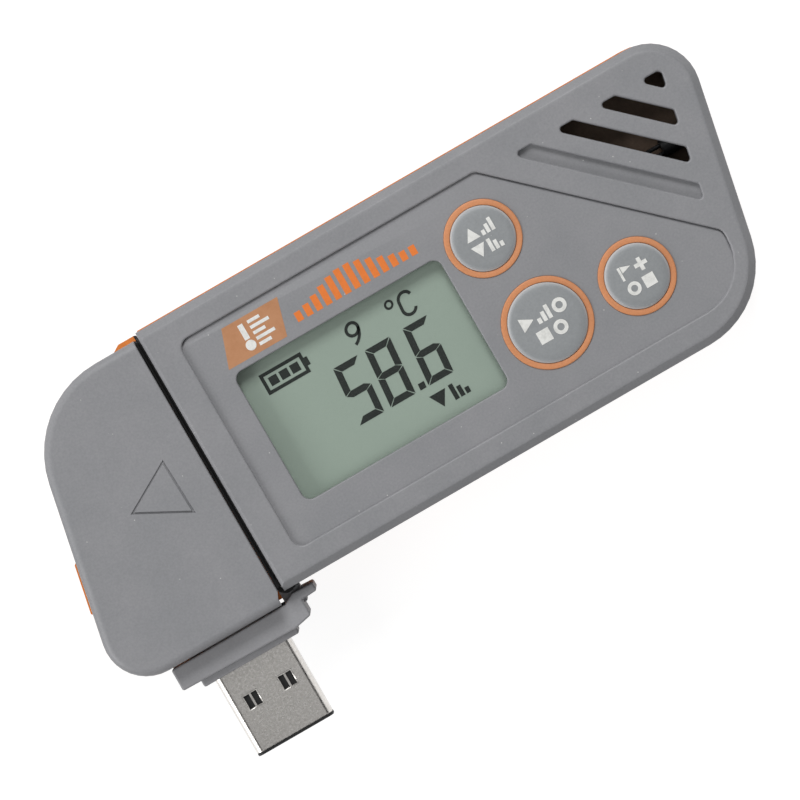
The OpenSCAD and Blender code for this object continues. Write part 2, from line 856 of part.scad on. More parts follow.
module keypad_mat() {
    color(shell_orange)
        difference() {
            union() {
                for (b = buttons_at)
                    translate([b[0], b[1], pad_sheet_z]) {
                        cylinder(r = b[2] / 2 + button_gap + collar_w + pad_sheet_rim, h = pad_sheet_t);
                        cylinder(r = b[2] / 2 + button_gap + collar_w, h = panel_z + collar_rise - pad_sheet_z);
                    }
                translate([0, 0, pad_sheet_z])
                    linear_extrude(pad_sheet_t) {
                        bar(select_button_at, start_button_at, pad_bridge_w);
                        bar(start_button_at, mark_button_at, pad_bridge_w);
                    }
            }
            for (b = buttons_at)
                translate([b[0], b[1], pad_sheet_z - overrun])
                    cylinder(r = b[2] / 2 + button_gap, h = case_t);
        }
}

// Push button: crowned cap, a flange under the mat that keeps it in, and a stem over the dome
module button(at) {
    r = at[2] / 2;
    top = panel_z + button_rise - button_crown;
    stem_z = board_top + dome_h + button_travel + seat_gap;
    color(button_grey)
        translate([at[0], at[1], 0])
            rotate_extrude()
                polygon([
                    [0, stem_z],
                    [button_stem_d / 2, stem_z],
                    [button_stem_d / 2, button_flange_z],
                    [r + button_flange_w, button_flange_z],
                    [r + button_flange_w, button_flange_z + button_flange_t],
                    [r, button_flange_z + button_flange_t],
                    for (k = [0:edge_steps])
                        [
                            r - button_edge_r * (1 - cos(90 * k / edge_steps)),
                            top - button_edge_r * (1 - sin(90 * k / edge_steps))
                        ],
                    [r / 2, top + 0.75 * button_crown],
                    [0, top + button_crown]
                ]);
}

module select_button() {
    button(select_button_at);
}

module start_button() {
    button(start_button_at);
}

module mark_button() {
    button(mark_button_at);
}

// Battery

cell_rim = 1.2;

module coin_cell() {
    color(steel)
        translate([cell_x, 0, cell_z]) {
            cylinder(d = cell_d, h = 0.8 * cell_h);
            cylinder(d = cell_d - 2 * cell_rim, h = cell_h);
        }
}

contact_sheet = 0.25;
contact_w = 4;
contact_l = 10;

module cell_contact_top() {
    color(gold)
        translate([cell_x - contact_l / 2, contact_w / 2, board_z])
            rotate([90, 0, 0])
                linear_extrude(contact_w)
                    polygon([
                        [0, 0],
                        [0, -contact_sheet],
                        [contact_l / 2, -contact_sheet],
                        [0.75 * contact_l, -contact_h],
                        [0.85 * contact_l, -contact_h],
                        [contact_l, contact_sheet - contact_h],
                        [0.8 * contact_l, contact_sheet - contact_h],
                        [contact_l / 2 + contact_sheet, 0]
                    ]);
}

module cell_contact_side() {
    color(gold)
        translate([cell_x + cell_d / 2 + seat_gap, -contact_w / 2, cell_z + 0.2 * cell_h])
            cube([contact_sheet, contact_w, board_z - cell_z - 0.2 * cell_h]);
}

module battery_door() {
    color(plastic_black)
        translate([cell_x, 0, 0])
            difference() {
                union() {
                    cylinder(r = door_r, h = door_rim_t);
                    cylinder(r = door_plug_r, h = door_h);
                    for (i = [0:door_lug_count - 1])
                        rotate([0, 0, i * 360 / door_lug_count])
                            translate([0, 0, wall_t + seat_gap])
                                wedge(door_lug_r, door_plug_r / 2, door_lug_angle, door_h - wall_t - 2 * seat_gap);
                }
                translate([-coin_slot_w / 2, -coin_slot_l / 2, -overrun])
                    cube([coin_slot_w, coin_slot_l, coin_slot_depth + overrun]);
            }
}

module battery_door_seal() {
    color(plastic_black)
        translate([cell_x, 0, door_rim_t + (wall_t - door_rim_t) / 2])
            rotate_extrude()
                translate([(door_plug_r + door_hole_r) / 2, 0])
                    circle(d = door_seal_d);
}

// End plate with the hinge ears and the tongue that guides the cap

module end_plate() {
    body_top = half_w - wall_t - seat_gap;
    body_h = plate_z - wall_t - 2 * seat_gap;
    lip_top = half_w - end_lip_inset;
    color(plastic_black)
        difference() {
            union() {
                translate([case_x0 - join_t, notch_y1, wall_t + seat_gap])
                    cube([end_plate_t + join_t, body_top - notch_y1, body_h]);
                translate([case_x0 - end_lip_t, notch_y1, end_lip_inset])
                    cube([end_lip_t, lip_top - notch_y1, case_t - 2 * end_lip_inset]);
                translate([tongue_x0, tongue_top - tongue_w, plug_z - tongue_t / 2])
                    cube([case_x0 - tongue_x0, tongue_w, tongue_t]);
                for (side = [-1, 1])
                    translate([0, 0, plug_z + side * (lug_h / 2 + ear_gap + ear_h / 2)])
                        ear();
            }
            translate([hinge_at[0], hinge_at[1], 0])
                cylinder(d = pin_d, h = case_t);
        }
}

// One hinge ear, centred on its own thickness
ear_h = (flange_h - lug_h) / 2 - ear_gap;

module ear() {
    translate([0, 0, -ear_h / 2])
        linear_extrude(ear_h) {
            translate(hinge_at)
                circle(d = knuckle_d);
            translate([case_x0, hinge_at[1]])
                square([end_plate_t, notch_y1 - hinge_at[1] + wall_t]);
        }
}

module hinge_pin() {
    color(steel)
        translate([hinge_at[0], hinge_at[1], plug_z - flange_h / 2])
            cylinder(d = pin_d, h = flange_h);
}

// USB plug on its carrier

fin_top = hinge_at[1] - knuckle_r - run_gap;
fin_t = 1.2;
flange_outline = [
    [flange_x0, flange_bottom],
    [flange_x1 - flange_slope_l, flange_bottom - flange_slope],
    [flange_x1, flange_bottom + flange_slope],
    [flange_x1, flange_top - fin_t / 2],
    [hinge_at[0] + fin_l, fin_top - fin_t - flange_slope / 2],
    [hinge_at[0] + fin_l, fin_top - flange_slope / 2],
    [hinge_at[0], fin_top],
    [hinge_at[0] - knuckle_r, flange_top],
    [flange_x0, flange_top]
];
usb_board_l = 15;
usb_board_h = 8;

module usb_carrier() {
    color(carrier_grey)
        difference() {
            union() {
                translate([0, 0, plug_z - flange_h / 2])
                    linear_extrude(flange_h)
                        polygon(flange_outline);
                translate([plug_mid_x - step_l / 2, step_bottom, plug_z - step_h / 2])
                    cube([step_l, flange_top - step_bottom - fin_t, step_h]);
                translate([0, 0, plug_z - lug_h / 2])
                    linear_extrude(lug_h) {
                        translate(hinge_at)
                            circle(d = knuckle_d);
                        translate([hinge_at[0] - knuckle_r, flange_top - fin_t])
                            square([knuckle_d, hinge_at[1] - flange_top + fin_t]);
                    }
            }
            translate([hinge_at[0], hinge_at[1], 0])
                cylinder(d = pin_d + 2 * pin_gap, h = case_t);
            translate([
                plug_mid_x - plug_w / 2 - seat_gap / 2, step_bottom - overrun, plug_z - plug_t / 2 - seat_gap / 2
            ])
                cube([plug_w + seat_gap, flange_top - step_bottom + overrun - usb_board_sink, plug_t + seat_gap]);
            translate([
                plug_mid_x - usb_board_l / 2 - seat_gap, plug_back, plug_z - usb_board_h / 2 - seat_gap
            ])
                cube([usb_board_l + 2 * seat_gap, flange_top - plug_back + overrun, usb_board_h + 2 * seat_gap]);
        }
}

// Runs its children, drawn in plan, along the plug from the height y down by l
module along_plug(y, l) {
    translate([plug_mid_x, y, plug_z])
        rotate([90, 0, 0])
            linear_extrude(l)
                children();
}

module usb_shell() {
    inner_w = plug_w - 2 * plug_sheet;
    inner_t = plug_t - 2 * plug_sheet;
    color(steel)
        difference() {
            along_plug(plug_back, plug_back - plug_tip)
                polygon(rounded(rectangle(0, 0, plug_w, plug_t), [for (k = [0:3]) plug_corner_r]));
            along_plug(plug_back + overrun, plug_back - plug_tip + 2 * overrun)
                polygon(rounded(rectangle(0, 0, inner_w, inner_t), [for (k = [0:3]) plug_corner_r - plug_sheet]));
            for (side = [-1, 1])
                translate([
                    plug_mid_x + side * plug_window_pitch / 2 - plug_window / 2,
                    plug_tip + plug_window_back,
                    plug_z - plug_t
                ])
                    cube([plug_window, plug_window, 2 * plug_t]);
        }
}

blade_t = 1.6;
blade_back = 1.2;
blade_w = plug_w - 2 * plug_sheet - 4 * seat_gap;
blade_y = plug_t / 2 - plug_sheet - seat_gap - blade_t;
block_l = 3;

module usb_insulator() {
    color(plastic_black) {
        along_plug(plug_back, block_l)
            polygon(rounded(
                rectangle(0, 0, plug_w - 2 * plug_sheet - seat_gap, plug_t - 2 * plug_sheet - seat_gap),
                [for (k = [0:3]) plug_corner_r - plug_sheet]
            ));
        along_plug(plug_back, plug_back - plug_tip - blade_back)
            polygon(rounded(
                rectangle(0, blade_y + blade_t / 2, blade_w, blade_t),
                [for (k = [0:3]) plug_corner_r - plug_sheet]
            ));
    }
}

contact_pitch_shares = [-3.5, -1, 1, 3.5];
usb_contact_t = 0.2;
usb_contact_w = 1;

module usb_contacts() {
    color(gold)
        along_plug(plug_back - block_l, plug_back - plug_tip - 2 * blade_back - block_l)
            for (s = contact_pitch_shares)
                translate([s * usb_contact_w - usb_contact_w / 2, blade_y - usb_contact_t])
                    square([usb_contact_w, usb_contact_t]);
}

module usb_board() {
    color(board_green)
        translate([plug_mid_x - usb_board_l / 2, plug_back, plug_z - usb_board_h / 2])
            cube([usb_board_l, usb_board_t, usb_board_h]);
}

// Cap

cap_post_d = 3.8;
cap_post_inset = 0.25;
rib_t = 1.2;
rib_x1 = cap_x1 - 1.2 * cap_gap;

// Guide ribs of one half: over the tongue, and beside it up to the parting line
module cap_ribs(z0, z1, tongue_z) {
    rib_x0 = tongue_x0 + run_gap;
    low = min(z0, tongue_z);
    translate([rib_x0, tongue_top - tongue_w / 2 - rib_t, low])
        cube([rib_x1 - rib_x0, 2 * rib_t, abs(tongue_z - z0)]);
    translate([rib_x0, tongue_top - tongue_w - run_gap - rib_t, min(z0, z1)])
        cube([rib_x1 - rib_x0, rib_t, abs(z1 - z0)]);
}

// What both halves lose: the rounding past the open end and the bevelled lower corner
corner_cut_x = 0.5;
corner_cut_y = 2;

module cap_cuts() {
    translate([cap_x1, -2 * half_w, -overrun])
        cube([2 * half_w, 4 * half_w, case_t + 2 * overrun]);
    translate([0, 0, -overrun])
        linear_extrude(case_t + 2 * overrun)
            polygon([
                [cap_x1 - corner_cut_x, cap_bottom - overrun],
                [cap_x1 + overrun, cap_bottom - overrun],
                [cap_x1 + overrun, cap_bottom + corner_cut_y],
                [cap_x1, cap_bottom + corner_cut_y],
                [cap_x1 - corner_cut_x, cap_bottom + corner_cut_y / 2]
            ]);
}

// Engraved triangle that points the way the cap pulls off
module cap_arrow() {
    base_x = cap_x1 - arrow_start;
    tip_y = -arrow_w / 11;
    points = [
        [base_x - arrow_l, tip_y],
        [base_x + arrow_line / 2, tip_y - arrow_w / 2],
        [base_x - arrow_line / 2, tip_y + arrow_w / 2]
    ];
    translate([0, 0, case_t - arrow_depth])
        linear_extrude(arrow_depth + overrun)
            difference() {
                polygon(points);
                polygon(inset(points, arrow_line));
            }
}

module cap_front() {
    inner_z = case_t - cap_wall_t;
    color(case_grey)
        difference() {
            union() {
                difference() {
                    pebble(cap_outline, cap_corners, rear_h, case_t, cap_edge_r, true);
                    slab(cap_cavity, cap_cavity_corners, 0, rear_h - overrun, inner_z - rear_h + overrun);
                }
                cap_ribs(inner_z, rear_h, plug_z + tongue_t / 2 + run_gap);
                for (p = cap_screws_at)
                    translate([p[0], p[1], rear_h])
                        cylinder(d = cap_post_d, h = inner_z - rear_h);
            }
            cap_cuts();
            cap_arrow();
            for (p = cap_screws_at)
                translate([p[0], p[1], rear_h - overrun])
                    cylinder(d = screw_d + seat_gap, h = inner_z - rear_h);
        }
}

// Point beside the cap's slanted end, by out past it
function beside_cap(y, out) = [end_x(cap_x0, y) - out * norm([1, end_lean_share]), y];

pad_slope = 0.7;
pad_start = 2.4;
upper_pad_l = 3.7;
upper_pad_slope = 1.3;

// Grip pads that show past the front half, on the slanted end and at the upper side
module cap_pads() {
    pad_end = pad_start + pad_l;
    translate([0, 0, edge_r])
        linear_extrude(rear_h - edge_r) {
            polygon([
                beside_cap(-pad_start, -cap_wall_t / 2),
                beside_cap(-pad_start, 0),
                beside_cap(-pad_start - pad_slope, pad_rise),
                beside_cap(-pad_end + pad_slope, pad_rise),
                beside_cap(-pad_end, 0),
                beside_cap(-pad_end, -cap_wall_t / 2)
            ]);
            polygon([
                [cap_x1 - upper_pad_l, cap_top - cap_wall_t / 2],
                [cap_x1, cap_top - cap_wall_t / 2],
                [cap_x1, cap_top + pad_rise],
                [cap_x1 - upper_pad_l + upper_pad_slope, cap_top + pad_rise],
                [cap_x1 - upper_pad_l, cap_top]
            ]);
        }
}

module cap_rear() {
    color(shell_orange)
        difference() {
            union() {
                difference() {
                    pebble(
                        inset(cap_outline, seat_gap), shrunk(cap_corners, seat_gap),
                        0, rear_h, cap_edge_r, false
                    );
                    slab(cap_cavity, cap_cavity_corners, 0, cap_wall_t, rear_h - cap_wall_t + overrun);
                }
                cap_pads();
                cap_ribs(cap_wall_t, rear_h, plug_z - tongue_t / 2 - run_gap);
                for (p = cap_screws_at)
                    translate([p[0], p[1], cap_wall_t / 2])
                        cylinder(d = head_d + 2 * cap_post_inset, h = rear_h - cap_wall_t / 2);
            }
            cap_cuts();
            for (p = cap_screws_at)
                translate([p[0], p[1], -overrun]) {
                    cylinder(d = screw_d + run_gap, h = rear_h + 2 * overrun);
                    cylinder(d = head_d + 2 * seat_gap, h = head_sink + head_t + overrun);
                }
        }
}

module cap_screws() {
    color(steel)
        for (p = cap_screws_at)
            translate([p[0], p[1], 0])
                screw(head_sink, case_t - 2 * cap_wall_t);
}

spring_t = 0.25;
spring_w = 4;
spring_l = 4.8;

// Leaf spring in the roof of the cap, beside its open end, that presses on the tongue
module cap_spring() {
    color(steel)
        translate([rib_x1 - spring_l, cap_cavity_top, plug_z - spring_w / 2])
            linear_extrude(spring_w)
                polygon([
                    [0, 0],
                    [0, -spring_t],
                    [spring_l / 3, -spring_t],
                    [spring_l / 2, -2 * spring_t],
                    [2 * spring_l / 3, -spring_t],
                    [spring_l, -spring_t],
                    [spring_l, 0]
                ]);
}

front_shell();
rear_shell();
case_seal();
case_screws();
display_lens();
lcd_panel();
lcd_frame();
lcd_connectors();
circuit_board();
processor_chip();
memory_chip();
clock_crystal();
dome_switches();
keypad_mat();
select_button();
start_button();
mark_button();
coin_cell();
cell_contact_top();
cell_contact_side();
battery_door();
battery_door_seal();
rear_plate();
temperature_sensor();
end_plate();
hinge_pin();
usb_carrier();
usb_shell();
usb_insulator();
usb_contacts();
usb_board();
cap_front();
cap_rear();
cap_screws();
cap_spring();
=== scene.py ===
"""Looks of a pocket temperature data logger: moulded shells, display, keypad, cap and fold-out plug.

Sizes in the classes' fields are in millimetres, and the meshes are in metres. +X runs from the cap to
the air vents, +Y to the upper long side and +Z from the rear face to the front face.
"""

import logging
import math
from abc import ABC, abstractmethod
from collections.abc import Callable, Sequence
from dataclasses import dataclass, field
from enum import Enum

import bmesh
import bpy
from mathutils import Matrix, Vector


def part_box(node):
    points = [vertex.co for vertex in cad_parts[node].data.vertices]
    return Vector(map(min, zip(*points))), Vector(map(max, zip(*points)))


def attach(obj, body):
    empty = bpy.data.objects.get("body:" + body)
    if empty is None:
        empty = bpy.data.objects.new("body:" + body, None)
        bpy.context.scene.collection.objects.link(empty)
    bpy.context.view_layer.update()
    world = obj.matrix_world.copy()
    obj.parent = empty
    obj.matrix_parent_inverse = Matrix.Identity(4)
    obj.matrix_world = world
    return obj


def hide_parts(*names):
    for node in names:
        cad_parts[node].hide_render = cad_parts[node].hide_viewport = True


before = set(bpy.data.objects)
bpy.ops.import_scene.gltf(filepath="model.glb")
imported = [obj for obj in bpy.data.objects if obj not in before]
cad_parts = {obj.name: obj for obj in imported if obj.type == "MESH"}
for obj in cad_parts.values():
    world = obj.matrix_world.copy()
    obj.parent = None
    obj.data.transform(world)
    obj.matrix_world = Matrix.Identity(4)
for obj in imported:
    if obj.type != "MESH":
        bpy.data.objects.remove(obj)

Colour = tuple[float, float, float, float]
Point = tuple[float, float]
Place = tuple[float, float, float]
Bar = tuple[float, float, float, float]
Band = tuple[float, float, float, float, float, float]
Box = tuple[Vector, Vector]
Test = Callable[[Vector], bool]
Shape = bmesh.types.BMesh
Socket = bpy.types.NodeSocket
Tree = bpy.types.NodeTree

LOG = logging.getLogger("temperature_logger")
WHITE: Colour = (1.0, 1.0, 1.0, 1.0)
# A millimetre, in metres
MM = 0.001
# Farthest that a point may be from a level on which it lies, in mm
NEAR = 0.02
# Farthest that two points may be apart and still be one, in mm: in the CAD, on a turned body, where
# points were moved together, and in a print
SAME_CAD, SAME_TURNED, SAME_MOVED, SAME_PRINT = 0.0001, 0.0005, 0.001, 0.002
# Largest angle between faces of one flat area, in radians
FLAT = math.radians(0.6)
# Angle of one step of a printed curve, in degrees, and steps in a full turn of a printed disc
PRINT_STEP, DISC_STEPS = 12.0, 32


# Shader nodes and finishes


def linear(colour: str) -> Colour:
    """Turns an sRGB hex colour into linear light.

    Args:
        colour: The colour as "#RRGGBB".

    Returns:
        Red, green, blue and an alpha of 1.
    """
    parts = [int(colour[i:i + 2], 16) / 255 for i in (1, 3, 5)]
    curved = [p / 12.92 if p <= 0.04045 else ((p + 0.055) / 1.055) ** 2.4 for p in parts]
    return curved[0], curved[1], curved[2], 1.0


def texture_scale(width: float) -> float:
    """Scale of a texture whose features are this wide, in mm."""
    return 1 / (width * MM)


def add_node(
    tree: Tree, kind: str, inputs: dict[str | int, object] | None = None, **settings: object
) -> bpy.types.Node:
    """Adds a node with its settings and links.

    Args:
        tree: The node tree that gets the node.
        kind: The node's type, such as "ShaderNodeTexNoise".
        inputs: For each input, a value or the output socket that is linked to it.
        **settings: The node's own properties.

    Returns:
        The new node.
    """
    node = tree.nodes.new(kind)
    for name, value in settings.items():
        setattr(node, name, value)
    for key, value in (inputs or {}).items():
        if isinstance(value, Socket):
            tree.links.new(value, node.inputs[key])
        else:
            node.inputs[key].default_value = value
    return node


def emptied(block: bpy.types.Material | bpy.types.World) -> Tree:
    """Gives a material or a world an empty node tree.

    Args:
        block: The material or world.

    Returns:
        Its node tree.
    """
    block.use_nodes = True
    block.node_tree.nodes.clear()
    return block.node_tree


@dataclass(frozen=True)
class Ground:
    """The bare material that a finish works on.

    Attributes:
        tree: The material's node tree.
        shader: Its Principled shader.
        place: Object coordinates in metres.
    """

    tree: Tree
    shader: bpy.types.Node
    place: Socket

    def wear(self, name: str, value: Socket) -> None:
        """Links a value to one of the shader's inputs."""
        self.tree.links.new(value, self.shader.inputs[name])

    def blend(
        self, pattern: Socket, span: Point, below: Socket | Colour, above: Colour, most: float = 1.0
    ) -> Socket:
        """Lays one colour over another where a pattern calls for it.

        Args:
            pattern: The pattern's value.
            span: Its values at which the upper colour starts and at which it is strongest.
            below: The lower colour.
            above: The upper colour.
            most: Share of the upper colour where it is strongest.

        Returns:
            The mixed colour.
        """
        amount = add_node(
            self.tree, "ShaderNodeMapRange",
            {"Value": pattern, "From Min": span[0], "From Max": span[1], "To Max": most}
        )
        mixed = add_node(
            self.tree, "ShaderNodeMix", {"Factor": amount.outputs["Result"], "A": below, "B": above},
            data_type="RGBA"
        )
        return mixed.outputs["Result"]


@dataclass(frozen=True)
class Finish(ABC):
    """A surface finish that is made into one material.

    Attributes:
        name: Name of the material.
        colour: Main colour in sRGB.
        roughness: Mean roughness.
    """

    name: str
    colour: str
    roughness: float

    def material(self) -> bpy.types.Material:
        """Gives the finish's material, which is made at its first use.

        Returns:
            The material.
        """
        made = bpy.data.materials.get(self.name)
        if not made:
            made = bpy.data.materials.new(self.name)
            made.use_nodes = True
            tree = made.node_tree
            shader = tree.nodes["Principled BSDF"]
            shader.inputs["Base Color"].default_value = linear(self.colour)
            shader.inputs["Roughness"].default_value = self.roughness
            self.dress(Ground(tree, shader, add_node(tree, "ShaderNodeTexCoord").outputs["Object"]))
        return made

    @abstractmethod
    def dress(self, ground: Ground) -> None:
        """Adds what makes this finish its own.

        Args:
            ground: The bare material.
        """


@dataclass(frozen=True)
class Moulded(Finish):
    """Injection moulded plastic or rubber with the fine spark-eroded grain of its mould.

    Attributes:
        shade: Darker colour of the faint flow marks and handling marks.
        grain: Width of one grain of the texture, in mm.
        grain_depth: Depth of the texture, in mm.
        cloud: Width of one faint cloud in the colour, in mm.
        dust: Distance between neighbouring dust specks, in mm, or 0 for none.
        dust_colour: Colour of dust and lint.
        speck: Radius of a dust speck, in mm.
        ior: Index of refraction.
        glow: Colour of a painted highlight where the top slopes down, or an empty string for none.
    """

    shade: str = "#808084"
    grain: float = 0.3
    grain_depth: float = 0.006
    cloud: float = 9.0
    dust: float = 0.0
    dust_colour: str = "#DCDCD9"
    speck: float = 0.09
    ior: float = 1.5
    glow: str = ""

    def dress(self, ground: Ground) -> None:
        """Adds grain, faint clouds, uneven gloss, dust, and a painted highlight where the top slopes down.

        Args:
            ground: The bare material.
        """
        tree, place = ground.tree, ground.place
        clouds = add_node(
            tree, "ShaderNodeTexNoise",
            {"Vector": place, "Scale": texture_scale(self.cloud), "Detail": 6.0, "Roughness": 0.62}
        ).outputs["Fac"]
        grains = add_node(
            tree, "ShaderNodeTexNoise", {"Vector": place, "Scale": texture_scale(self.grain), "Detail": 2.0}
        ).outputs["Fac"]
        colour = ground.blend(clouds, span=(0.35, 0.7), below=linear(self.colour), above=linear(self.shade))
        fine = add_node(
            tree, "ShaderNodeMapRange",
            {"Value": grains, "From Min": 0.25, "From Max": 0.75, "To Min": 0.93, "To Max": 1.06}
        )
        colour = add_node(
            tree, "ShaderNodeVectorMath", {0: colour, "Scale": fine.outputs["Result"]}, operation="SCALE"
        ).outputs["Vector"]
        if self.dust:
            spots = add_node(
                tree, "ShaderNodeTexVoronoi",
                {"Vector": place, "Scale": texture_scale(self.dust), "Randomness": 1.0}
            )
            rim = self.speck / self.dust
            colour = ground.blend(
                spots.outputs["Distance"], span=(rim, rim / 2), below=colour, above=linear(self.dust_colour),
                most=0.9
            )
        # Painted highlight: the colour turns lighter as the surface tilts away from facing up
        if self.glow:
            normal = add_node(tree, "ShaderNodeTexCoord").outputs["Normal"]
            upright = add_node(tree, "ShaderNodeSeparateXYZ", {0: normal}).outputs["Z"]
            colour = ground.blend(upright, span=(0.99, 0.45), below=colour, above=linear(self.glow), most=0.9)
        ground.wear("Base Color", colour)
        gloss = add_node(
            tree, "ShaderNodeMapRange",
            {"Value": clouds, "From Min": 0.3, "From Max": 0.7,
             "To Min": self.roughness - 0.05, "To Max": self.roughness + 0.05}
        )
        ground.wear("Roughness", gloss.outputs["Result"])
        bump = add_node(
            tree, "ShaderNodeBump", {"Height": grains, "Distance": self.grain_depth * MM, "Strength": 1.0}
        )
        ground.wear("Normal", bump.outputs["Normal"])
        ground.shader.inputs["IOR"].default_value = self.ior


@dataclass(frozen=True)
class Metal(Finish):
    """Bare or plated metal whose gloss and colour vary with rolling, plating and handling.

    Attributes:
        shade: Colour of the duller patches.
        streak: Width of one rolling streak, in mm.
        stretch: How many times longer than wide a streak is.
        speck: Width of one plating speck, in mm.
        speck_depth: Depth of the specks, in mm.
    """

    shade: str = "#8C8B88"
    streak: float = 0.25
    stretch: float = 14.0
    speck: float = 0.2
    speck_depth: float = 0.004

    def dress(self, ground: Ground) -> None:
        """Adds rolling streaks and plating specks.

        Args:
            ground: The bare material.
        """
        tree, place = ground.tree, ground.place
        ground.shader.inputs["Metallic"].default_value = 1.0
        drawn_out = add_node(
            tree, "ShaderNodeMapping", {"Vector": place, "Scale": (1.0, 1 / self.stretch, 1.0)}
        )
        streaks = add_node(
            tree, "ShaderNodeTexNoise",
            {"Vector": drawn_out.outputs["Vector"], "Scale": texture_scale(self.streak), "Detail": 3.0}
        )
        specks = add_node(
            tree, "ShaderNodeTexNoise",
            {"Vector": place, "Scale": texture_scale(self.speck), "Detail": 4.0, "Roughness": 0.7}
        ).outputs["Fac"]
        both = add_node(tree, "ShaderNodeMath", {0: streaks.outputs["Fac"], 1: specks}, operation="ADD")
        ground.wear("Base Color", ground.blend(
            both.outputs["Value"], span=(0.75, 1.3), below=linear(self.colour), above=linear(self.shade)
        ))
        gloss = add_node(
            tree, "ShaderNodeMapRange",
            {"Value": specks, "From Min": 0.3, "From Max": 0.7,
             "To Min": self.roughness - 0.06, "To Max": self.roughness + 0.08}
        )
        ground.wear("Roughness", gloss.outputs["Result"])
        bump = add_node(
            tree, "ShaderNodeBump", {"Height": specks, "Distance": self.speck_depth * MM, "Strength": 1.0}
        )
        ground.wear("Normal", bump.outputs["Normal"])


@dataclass(frozen=True)
class Ink(Finish):
    """Pad-printed or screen-printed ink, a little uneven where the pad lifted off.

    Attributes:
        thin: Colour where the ink is thin and the plastic shows through.
        blot: Width of one uneven spot, in mm.
    """

    thin: str = "#C8C8C6"
    blot: float = 0.7

    def dress(self, ground: Ground) -> None:
        """Adds thin spots to the ink.

        Args:
            ground: The bare material.
        """
        blots = add_node(
            ground.tree, "ShaderNodeTexNoise",
            {"Vector": ground.place, "Scale": texture_scale(self.blot), "Detail": 5.0, "Roughness": 0.65}
        )
        ground.wear("Base Color", ground.blend(
            blots.outputs["Fac"], span=(0.45, 0.8), below=linear(self.colour), above=linear(self.thin)
        ))


@dataclass(frozen=True)
class Polariser(Finish):
    """Rear polariser of a reflective liquid crystal display: pearly, grey-green and nearly even.

    Attributes:
        shade: Slightly darker colour of its clouds.
        cloud: Width of one cloud, in mm.
        pearl: Width of one grain of the pearly reflector, in mm.
    """

    shade: str = "#8C9B92"
    cloud: float = 16.0
    pearl: float = 0.25

    def dress(self, ground: Ground) -> None:
        """Adds wide clouds and a pearly grain.

        Args:
            ground: The bare material.
        """
        tree = ground.tree
        clouds, pearls = [
            add_node(
                tree, "ShaderNodeTexNoise",
                {"Vector": ground.place, "Scale": texture_scale(width), "Detail": detail}
            ).outputs["Fac"]
            for width, detail in ((self.cloud, 3.0), (self.pearl, 1.0))
        ]
        colour = ground.blend(clouds, span=(0.0, 1.0), below=linear(self.colour), above=linear(self.shade))
        grain = add_node(tree, "ShaderNodeMapRange", {"Value": pearls, "To Min": 0.965, "To Max": 1.035})
        grained = add_node(
            tree, "ShaderNodeVectorMath", {0: colour, "Scale": grain.outputs["Result"]}, operation="SCALE"
        )
        ground.wear("Base Color", grained.outputs["Vector"])


@dataclass(frozen=True)
class Acrylic(Finish):
    """Clear cast acrylic with faint wiping marks.

    Attributes:
        body: How much of its own colour the sheet shows.
        wipe: Width of one wiping mark, in mm.
        ior: Index of refraction.
    """

    body: float = 0.05
    wipe: float = 1.5
    ior: float = 1.49

    def dress(self, ground: Ground) -> None:
        """Makes the sheet clear and gives its gloss wiping marks.

        Args:
            ground: The bare material.
        """
        marks = add_node(
            ground.tree, "ShaderNodeTexNoise",
            {"Vector": ground.place, "Scale": texture_scale(self.wipe), "Detail": 4.0}
        )
        gloss = add_node(
            ground.tree, "ShaderNodeMapRange",
            {"Value": marks.outputs["Fac"], "To Min": self.roughness, "To Max": self.roughness + 0.1}
        )
        ground.wear("Roughness", gloss.outputs["Result"])
        ground.shader.inputs["IOR"].default_value = self.ior
        ground.shader.inputs["Alpha"].default_value = self.body


@dataclass(frozen=True)
class SolderMask(Finish):
    """Glass-epoxy board under a translucent solder mask, with its copper tracks as paler lines.

    Attributes:
        track: Colour over the copper.
        pitch: Distance between tracks, in mm.
    """

    track: str = "#3F8A5A"
    pitch: float = 2.2

    def dress(self, ground: Ground) -> None:
        """Adds tracks as the edges of square cells.

        Args:
            ground: The bare material.
        """
        cells = add_node(
            ground.tree, "ShaderNodeTexVoronoi",
            {"Vector": ground.place, "Scale": texture_scale(self.pitch), "Randomness": 0.55},
            distance="CHEBYCHEV", feature="F2"
        )
        ground.wear("Base Color", ground.blend(
            cells.outputs["Distance"], span=(0.5, 0.56), below=linear(self.colour), above=linear(self.track)
        ))


# ABS shells off a spark-eroded mould: even satin grey with a fine grain and stray dust
GREY_ABS = Moulded("moulded_abs_grey", "#939396", 0.5, shade="#8B8C8F", dust=2.0)
# The same plastic in orange, which shows as a bright line round the case
ORANGE_ABS = Moulded("moulded_abs_orange", "#F18C3A", 0.45, shade="#E98433", grain_depth=0.004)
# The plug's carrier: paler and rougher plastic, whose paler colour is partly painted light that lifts it out
# of the cap's shadow
CARRIER_ABS = Moulded("moulded_abs_pale_grey_partly_painted_light", "#A1A1A4", 0.55, shade="#969699")
# Silicone keys: matt and slightly bluish, with a painted highlight where their soft edge slopes down
KEY_SILICONE = Moulded(
    "moulded_silicone_grey_painted_edge_highlight", "#95989A", 0.55, shade="#8D9092", grain_depth=0.003, dust=1.8, glow="#D2D5D7"
)
# Orange silicone of the keypad mat, whose collars surround the keys
COLLAR_SILICONE = Moulded("moulded_silicone_orange", "#DB9466", 0.5, shade="#D38B5B", grain_depth=0.003)
# Glass-filled polyamide: nearly black and matt; it also makes the black rim of painted shade at the plug's
# mouth
BLACK_POLYAMIDE = Moulded("moulded_polyamide_black", "#121213", 0.6, shade="#0D0D0E", cloud=5.0)
# Sealing rubber, dark and dull; it also makes the black plate and sheet of painted shade in the gap between
# case and cap
BLACK_RUBBER = Moulded("moulded_rubber_black", "#141415", 0.75, shade="#101011", cloud=4.0)
# Brown sheet behind the vents that darkens their inside: painted shade, dull and with a coarse nap
VENT_SHADE_SHEET = Moulded("vent_shade_sheet_brown", "#96806F", 0.9, shade="#6E5C50", grain=0.5, grain_depth=0.05)
